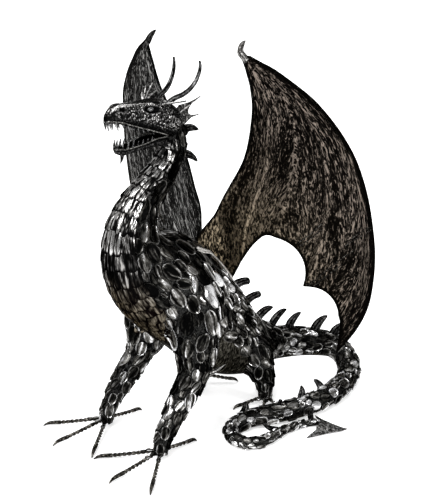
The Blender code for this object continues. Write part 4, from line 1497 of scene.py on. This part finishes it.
def fan(root, outline, ribs, wavy, columns):
    """A web spread from a root to an outline, with a raised rib to each of some of its points.

    wavy is how far the edge draws in between the ribs."""
    line = Line(outline, 1)
    marks = [line.marks[number] / line.length for number in ribs]

    def place(share, turn):
        spot = Vector(line.at(turn)[:3])
        near = min(abs(turn - mark) for mark in marks) * line.length
        reach = share * (1 - wavy * (1 - bell(near, 0.014)))
        rib = bell(near * max(share, 0.15), 0.0022 + 0.001 * (1 - share))
        return root + (spot - root) * reach + SHIFT, rib

    return grid(FAN_ROWS, columns, place)


# The ear fans: length along the skull, height above the root.
EAR = (
    (0.004, 0.004), (0.014, 0.018), (0.026, 0.03), (0.04, 0.04), (0.052, 0.048), (0.069, 0.052),
    (0.086, 0.055), (0.091, 0.043), (0.094, 0.03), (0.093, 0.01), (0.09, -0.006),
)


def thick_fan(bm, normal, name, node, thickness):
    crest = bm.verts.layers.float["crest"]
    for vert in bm.verts:
        vert.co += normal * (0.0030 * vert[crest])
        vert[crest] = 0.2 + 0.8 * vert[crest]
    seams_welded(bm)
    solidified(piece(bm, name, FIN, "head_steel", node, sharp=50), thickness)


# Lift above level in degrees and spread of each ear.
EARS = ((12, 1.0), (62, 1.14))
EAR_ROOT = Vector((0.051, -0.216, 1.284))
EAR_RIBS, EAR_WAVY = (0, 2, 4, 6, 8, 10), 0.10


def make_ears():
    for (side, mark), (lift, spread) in zip(SIDES, EARS):
        lift = math.radians(lift)
        out = Vector((side * math.cos(lift), 0.0, math.sin(lift)))
        start = Vector((side * EAR_ROOT.x, EAR_ROOT.y, EAR_ROOT.z))
        outline = [tuple(start + Vector((0, u, 0)) + out * v * spread) for u, v in EAR]
        root = start + Vector((0, 0.012, 0)) - out * 0.010
        bm = fan(root, outline, EAR_RIBS, EAR_WAVY, 72)
        thick_fan(bm, Vector((0, 1, 0)).cross(out) * (-side), "ear_fan_" + mark, "ear_" + mark, 0.003)


# The webbed fin behind the skull, as y, z.
NAPE_FIN = (
    (-0.075, 1.262), (-0.03, 1.266), (0.0, 1.273), (0.03, 1.2825), (0.0, 1.2675), (-0.015, 1.259),
    (-0.026, 1.248), (-0.031, 1.238), (-0.03, 1.226), (-0.015, 1.219), (0.02, 1.2165),
    (-0.015, 1.2105), (-0.036, 1.199), (-0.048, 1.19), (-0.06, 1.19),
)


def make_nape_fin():
    outline = [(0.0, y, z) for y, z in NAPE_FIN]
    bm = fan(Vector((0, -0.120, 1.215)), outline, (3, 10, 14), 0.0, 120)
    thick_fan(bm, Vector((1, 0, 0)), "nape_web", "nape_fin", 0.0035)


# ---------------------------------------------------------------- spikes

# Spikes down the back: name, root y and z, tip y and z, width of the root.
BACK_SPIKES = (
    ("nape_spike_1", -0.062, 1.168, 0.02, 1.16, 0.034),
    ("nape_spike_2", -0.072, 1.084, 0.014, 1.041, 0.034),
    ("back_spike_1", 0.196, 0.488, 0.298, 0.493, 0.05),
    ("back_spike_2", 0.262, 0.4, 0.364, 0.419, 0.05),
    ("back_spike_3", 0.338, 0.31, 0.438, 0.34, 0.052),
    ("back_spike_4", 0.43, 0.258, 0.523, 0.307, 0.052),
)
# Spikes on the tail: name, place in rows of TAIL, lean to the right in degrees, reach, width of the root,
# and how far the tip is drawn along the tail.
TAIL_SPIKES = (
    ("back_spike_5", 1.15, 0, 0.062, 0.05, 0.052), ("back_spike_6", 2.7, 0, 0.068, 0.052, 0.045),
    ("back_spike_7", 3.85, 0, 0.062, 0.048, 0.04), ("tail_spike_1", 9.3, 50, 0.043, 0.042, 0.004),
    ("tail_spike_2", 10.7, 30, 0.04, 0.036, -0.018), ("tail_spike_3", 11.8, 5, 0.017, 0.026, 0.0),
    ("tail_spike_4", 13.48, 30, 0.034, 0.034, -0.016),
    ("tail_spike_5", 19.4, -62, 0.046, 0.028, -0.03),
    ("tail_spike_6", 22.2, -15, 0.046, 0.026, 0.006),
)
SPIKE_THICK = 0.014
SPIKE_ROWS = ((-0.18, 1.05), (0.14, 1.0), (0.45, 0.84), (0.76, 0.58), (1.0, 0.24))
SPIKE_BOW = 0.44  # a spike bows by a quarter of this share of its reach


def spike(name, root, tip, fore, width, blunt=1.0):
    """A folded plate with three ribs, which narrows and bends over to its tip."""
    root, tip = Vector(root), Vector(tip)
    axis = tip - root
    reach = axis.length
    fore = (fore - axis * (fore.dot(axis) / reach**2)).normalized()
    across = axis.cross(fore).normalized()
    widths = Line(SPIKE_ROWS, axes=1)

    def place(down, turn):
        share, wide = widths.at(down)
        wide = wide + (0.72 - wide) * (blunt - 1) * ease(share)
        wide *= math.sqrt(1 - 0.97 * max(0.0, (down - 0.88) / 0.12) ** 2)
        bow = SPIKE_BOW * reach * share * (1 - share)
        angle = 2 * math.pi * turn
        flat = math.cos(angle)
        rib = math.cos(3 * math.pi * flat) * 0.5 + 0.5
        half_thick = wide * SPIKE_THICK / 2 + 0.001
        thick = half_thick * math.sin(angle) * (0.72 + 0.55 * rib * min(1.0, 2 * (1 - abs(flat)) + 0.4))
        wave = 1 + 0.03 * noise.noise(Vector((9 * share, flat, reach * 90)))
        spot = root + axis * share - fore * bow + fore * (flat * wide * width / 2 * wave) + across * thick
        return spot + SHIFT, rib

    piece(grid(26, 30, place, closed=True), "folded_" + name, SPIKE, "bar_steel", name)


NECK_FORE, BACK_FORE = Vector((0, 0, -1)), Vector((0, 0.75, -0.65))  # which way the folds face
BLUNT = {"back_spike_1": 1.8, "back_spike_2": 1.8}  # spikes that stay wide for longer


def make_spikes():
    for name, y0, z0, y1, z1, width in BACK_SPIKES:
        fore = NECK_FORE if name.startswith("nape") else BACK_FORE
        spike(name, (0, y0, z0), (0, y1, z1), fore, width, BLUNT.get(name, 1.0))
    rows = smooth_rows(TAIL, 2)
    for name, place, lean, reach, width, draw in TAIL_SPIKES:
        index = int(place * 2)
        here, ahead = Vector(rows[index][:3]), Vector(rows[index + 1][:3])
        run = (ahead - here).normalized()
        middle = here.lerp(ahead, place * 2 - index)
        radius = rows[index][3]
        right = run.cross(UP).normalized()
        lean = math.radians(lean)
        out = right.cross(run) * math.cos(lean) + right * math.sin(lean)
        tip = middle + out * (radius + reach) + run * draw
        spike(name, middle + out * (radius * 0.9), tip, run, width)


# The flat arrow at the end of the tail, along its own axis and across it.
ARROW = (
    (0.126, 0.0), (0.06, 0.036), (0.02, 0.062), (-0.012, 0.088), (0.006, 0.055), (0.014, 0.03),
    (0.006, 0.01), (0.006, -0.012), (0.01, -0.04), (-0.004, -0.066), (-0.02, -0.095),
    (0.02, -0.066), (0.06, -0.038), (0.126, -0.0005),
)
ARROW_MIDDLE = Vector((0.410, 0.257, 0.0))


def make_arrow():
    ahead, across = Vector((0.83, 0.55, 0)).normalized(), Vector((-0.55, 0.83, 0)).normalized()
    line = Line([(u, v, 0.0) for u, v in ARROW], 1)

    def place(share, turn):
        u, v, _ = line.at(turn)
        u, v = 0.024 + (u - 0.024) * share, v * share
        ridge = 1 - abs(v) / (0.004 + 0.6 * (0.13 - u))
        notch = abs(math.sin((u * 0.8 - abs(v) * 0.75) * 520))
        z = 0.0065 + 0.0065 * max(0.0, ridge) + 0.0012 * notch * min(1.0, 4 * (1 - share))
        return ARROW_MIDDLE + ahead * u + across * v + UP * z + SHIFT, 0.25 + 0.6 * notch

    bm = grid(30, 130, place)
    seams_welded(bm)
    solidified(piece(bm, "arrow_head", ARROW_STEEL, "skin_steel", "tail_arrow", sharp=50), 0.004)


# ---------------------------------------------------------------- build


skin_piece = make_skin()
skin_surface = Surface(skin_piece.data)


paint_bare(skin_piece.data)
make_scutes(skin_surface)
make_plates(skin_surface)
make_wing(1, "left", 0.0, ())
make_wing(-1, "right", 0.135, RIGHT_BULGES)
for side, mark in SIDES:
    make_wing_claw(side, mark)
make_wing_welds(skin_surface)
make_sheet_seams()
make_feet()
make_knuckles(skin_surface)
make_skull()
make_jaw()
make_lips()
make_teeth()
make_eyes()
make_bars()
make_ears()
make_nape_fin()
make_spikes()
make_arrow()


# ---------------------------------------------------------------- floor, light and camera

BACKDROP = (-0.73, 0.68, 0.0)  # where the white backdrop stands
FRONT_WALL, BACK_WALL = 0.09, 1.0  # how bright the room is in front and behind


def make_floor():
    bm = bmesh.new()
    bmesh.ops.create_grid(bm, x_segments=1, y_segments=1, size=60)
    floor = put("floor", mesh_of(bm, "floor"))
    paper = bpy.data.materials.new("pale_floor")
    paper.use_nodes = True
    looks = {"Base Color": (0.92, 0.92, 0.92, 1), "Roughness": 0.9}
    looks |= {"Emission Color": (1, 1, 1, 1), "Emission Strength": 0.5}
    for name, value in looks.items():
        paper.node_tree.nodes["Principled BSDF"].inputs[name].default_value = value
    floor.data.materials.append(paper)


SUN_PLACE, SUN_POWER, SUN_SPREAD = (0.15, -0.75, 1.0), 3.6, 45  # the spread in degrees
# Place, size and power of the soft lamps, which point at the middle of the dragon.
SOFT_LAMPS = {"side": ((3.4, 0.8, 2.2), 1.0, 60), "back": ((-2.4, 2.6, 3.0), 1.4, 60)}
MIDDLE = (0.0, 0.0, 0.7)


def toward(place, target):
    """How a lamp at a place is turned to shine on a target."""
    return (Vector(target) - Vector(place)).to_track_quat("-Z", "Y").to_euler()


def soft_light(name, place, size, power):
    light = bpy.data.lights.new(name, "AREA")
    light.size = size
    light.energy = power
    obj = put(name, light)
    obj.location = place
    obj.rotation_euler = toward(place, MIDDLE)


def make_light():
    """A white backdrop behind, a darker room in front, and one broad soft lamp high in front."""
    scene = bpy.context.scene
    scene.view_settings.view_transform = "Standard"
    world = bpy.data.worlds.new("studio")
    room = Graph(world)
    way = room.add("ShaderNodeTexCoord").outputs["Generated"]
    facing = room.add("ShaderNodeVectorMath", {0: way, 1: BACKDROP}, operation="DOT_PRODUCT")
    walls = {"From Min": -0.35, "From Max": 0.75, "To Min": FRONT_WALL, "To Max": BACK_WALL}
    walls["Value"] = facing.outputs["Value"]
    spread = room.add("ShaderNodeMapRange", walls, interpolation_type="SMOOTHSTEP")
    seen = room.add("ShaderNodeLightPath").outputs["Is Camera Ray"]
    white = room.add("ShaderNodeMix", {0: seen, 2: spread.outputs["Result"], 3: 1.0})
    shine = room.nodes["Background"].inputs
    room.feed(shine["Color"], (1, 1, 1, 1))
    room.feed(shine["Strength"], white.outputs[0])
    scene.world = world
    sun = bpy.data.lights.new("broad_lamp", "SUN")
    sun.energy = SUN_POWER
    sun.angle = math.radians(SUN_SPREAD)
    put("broad_lamp", sun).rotation_euler = toward(SUN_PLACE, (0, 0, 0))
    for name, lamp in SOFT_LAMPS.items():
        soft_light(name, *lamp)


CAMERA_PLACE = Vector((2.576, -2.30, 1.879)) + SHIFT
TILT_DOWN, TURN = 18.9, 47  # of the camera, in degrees
FILM, LENS = 36.0, 68.832  # millimetres


def make_camera():
    camera = bpy.data.cameras.new("camera")
    camera.sensor_width = FILM
    camera.lens = LENS
    camera.clip_end = 200
    obj = put("camera", camera)
    obj.location = CAMERA_PLACE
    obj.rotation_euler = (math.radians(90 - TILT_DOWN), 0, math.radians(TURN))
    bpy.context.scene.camera = obj


make_floor()
make_light()
make_camera()
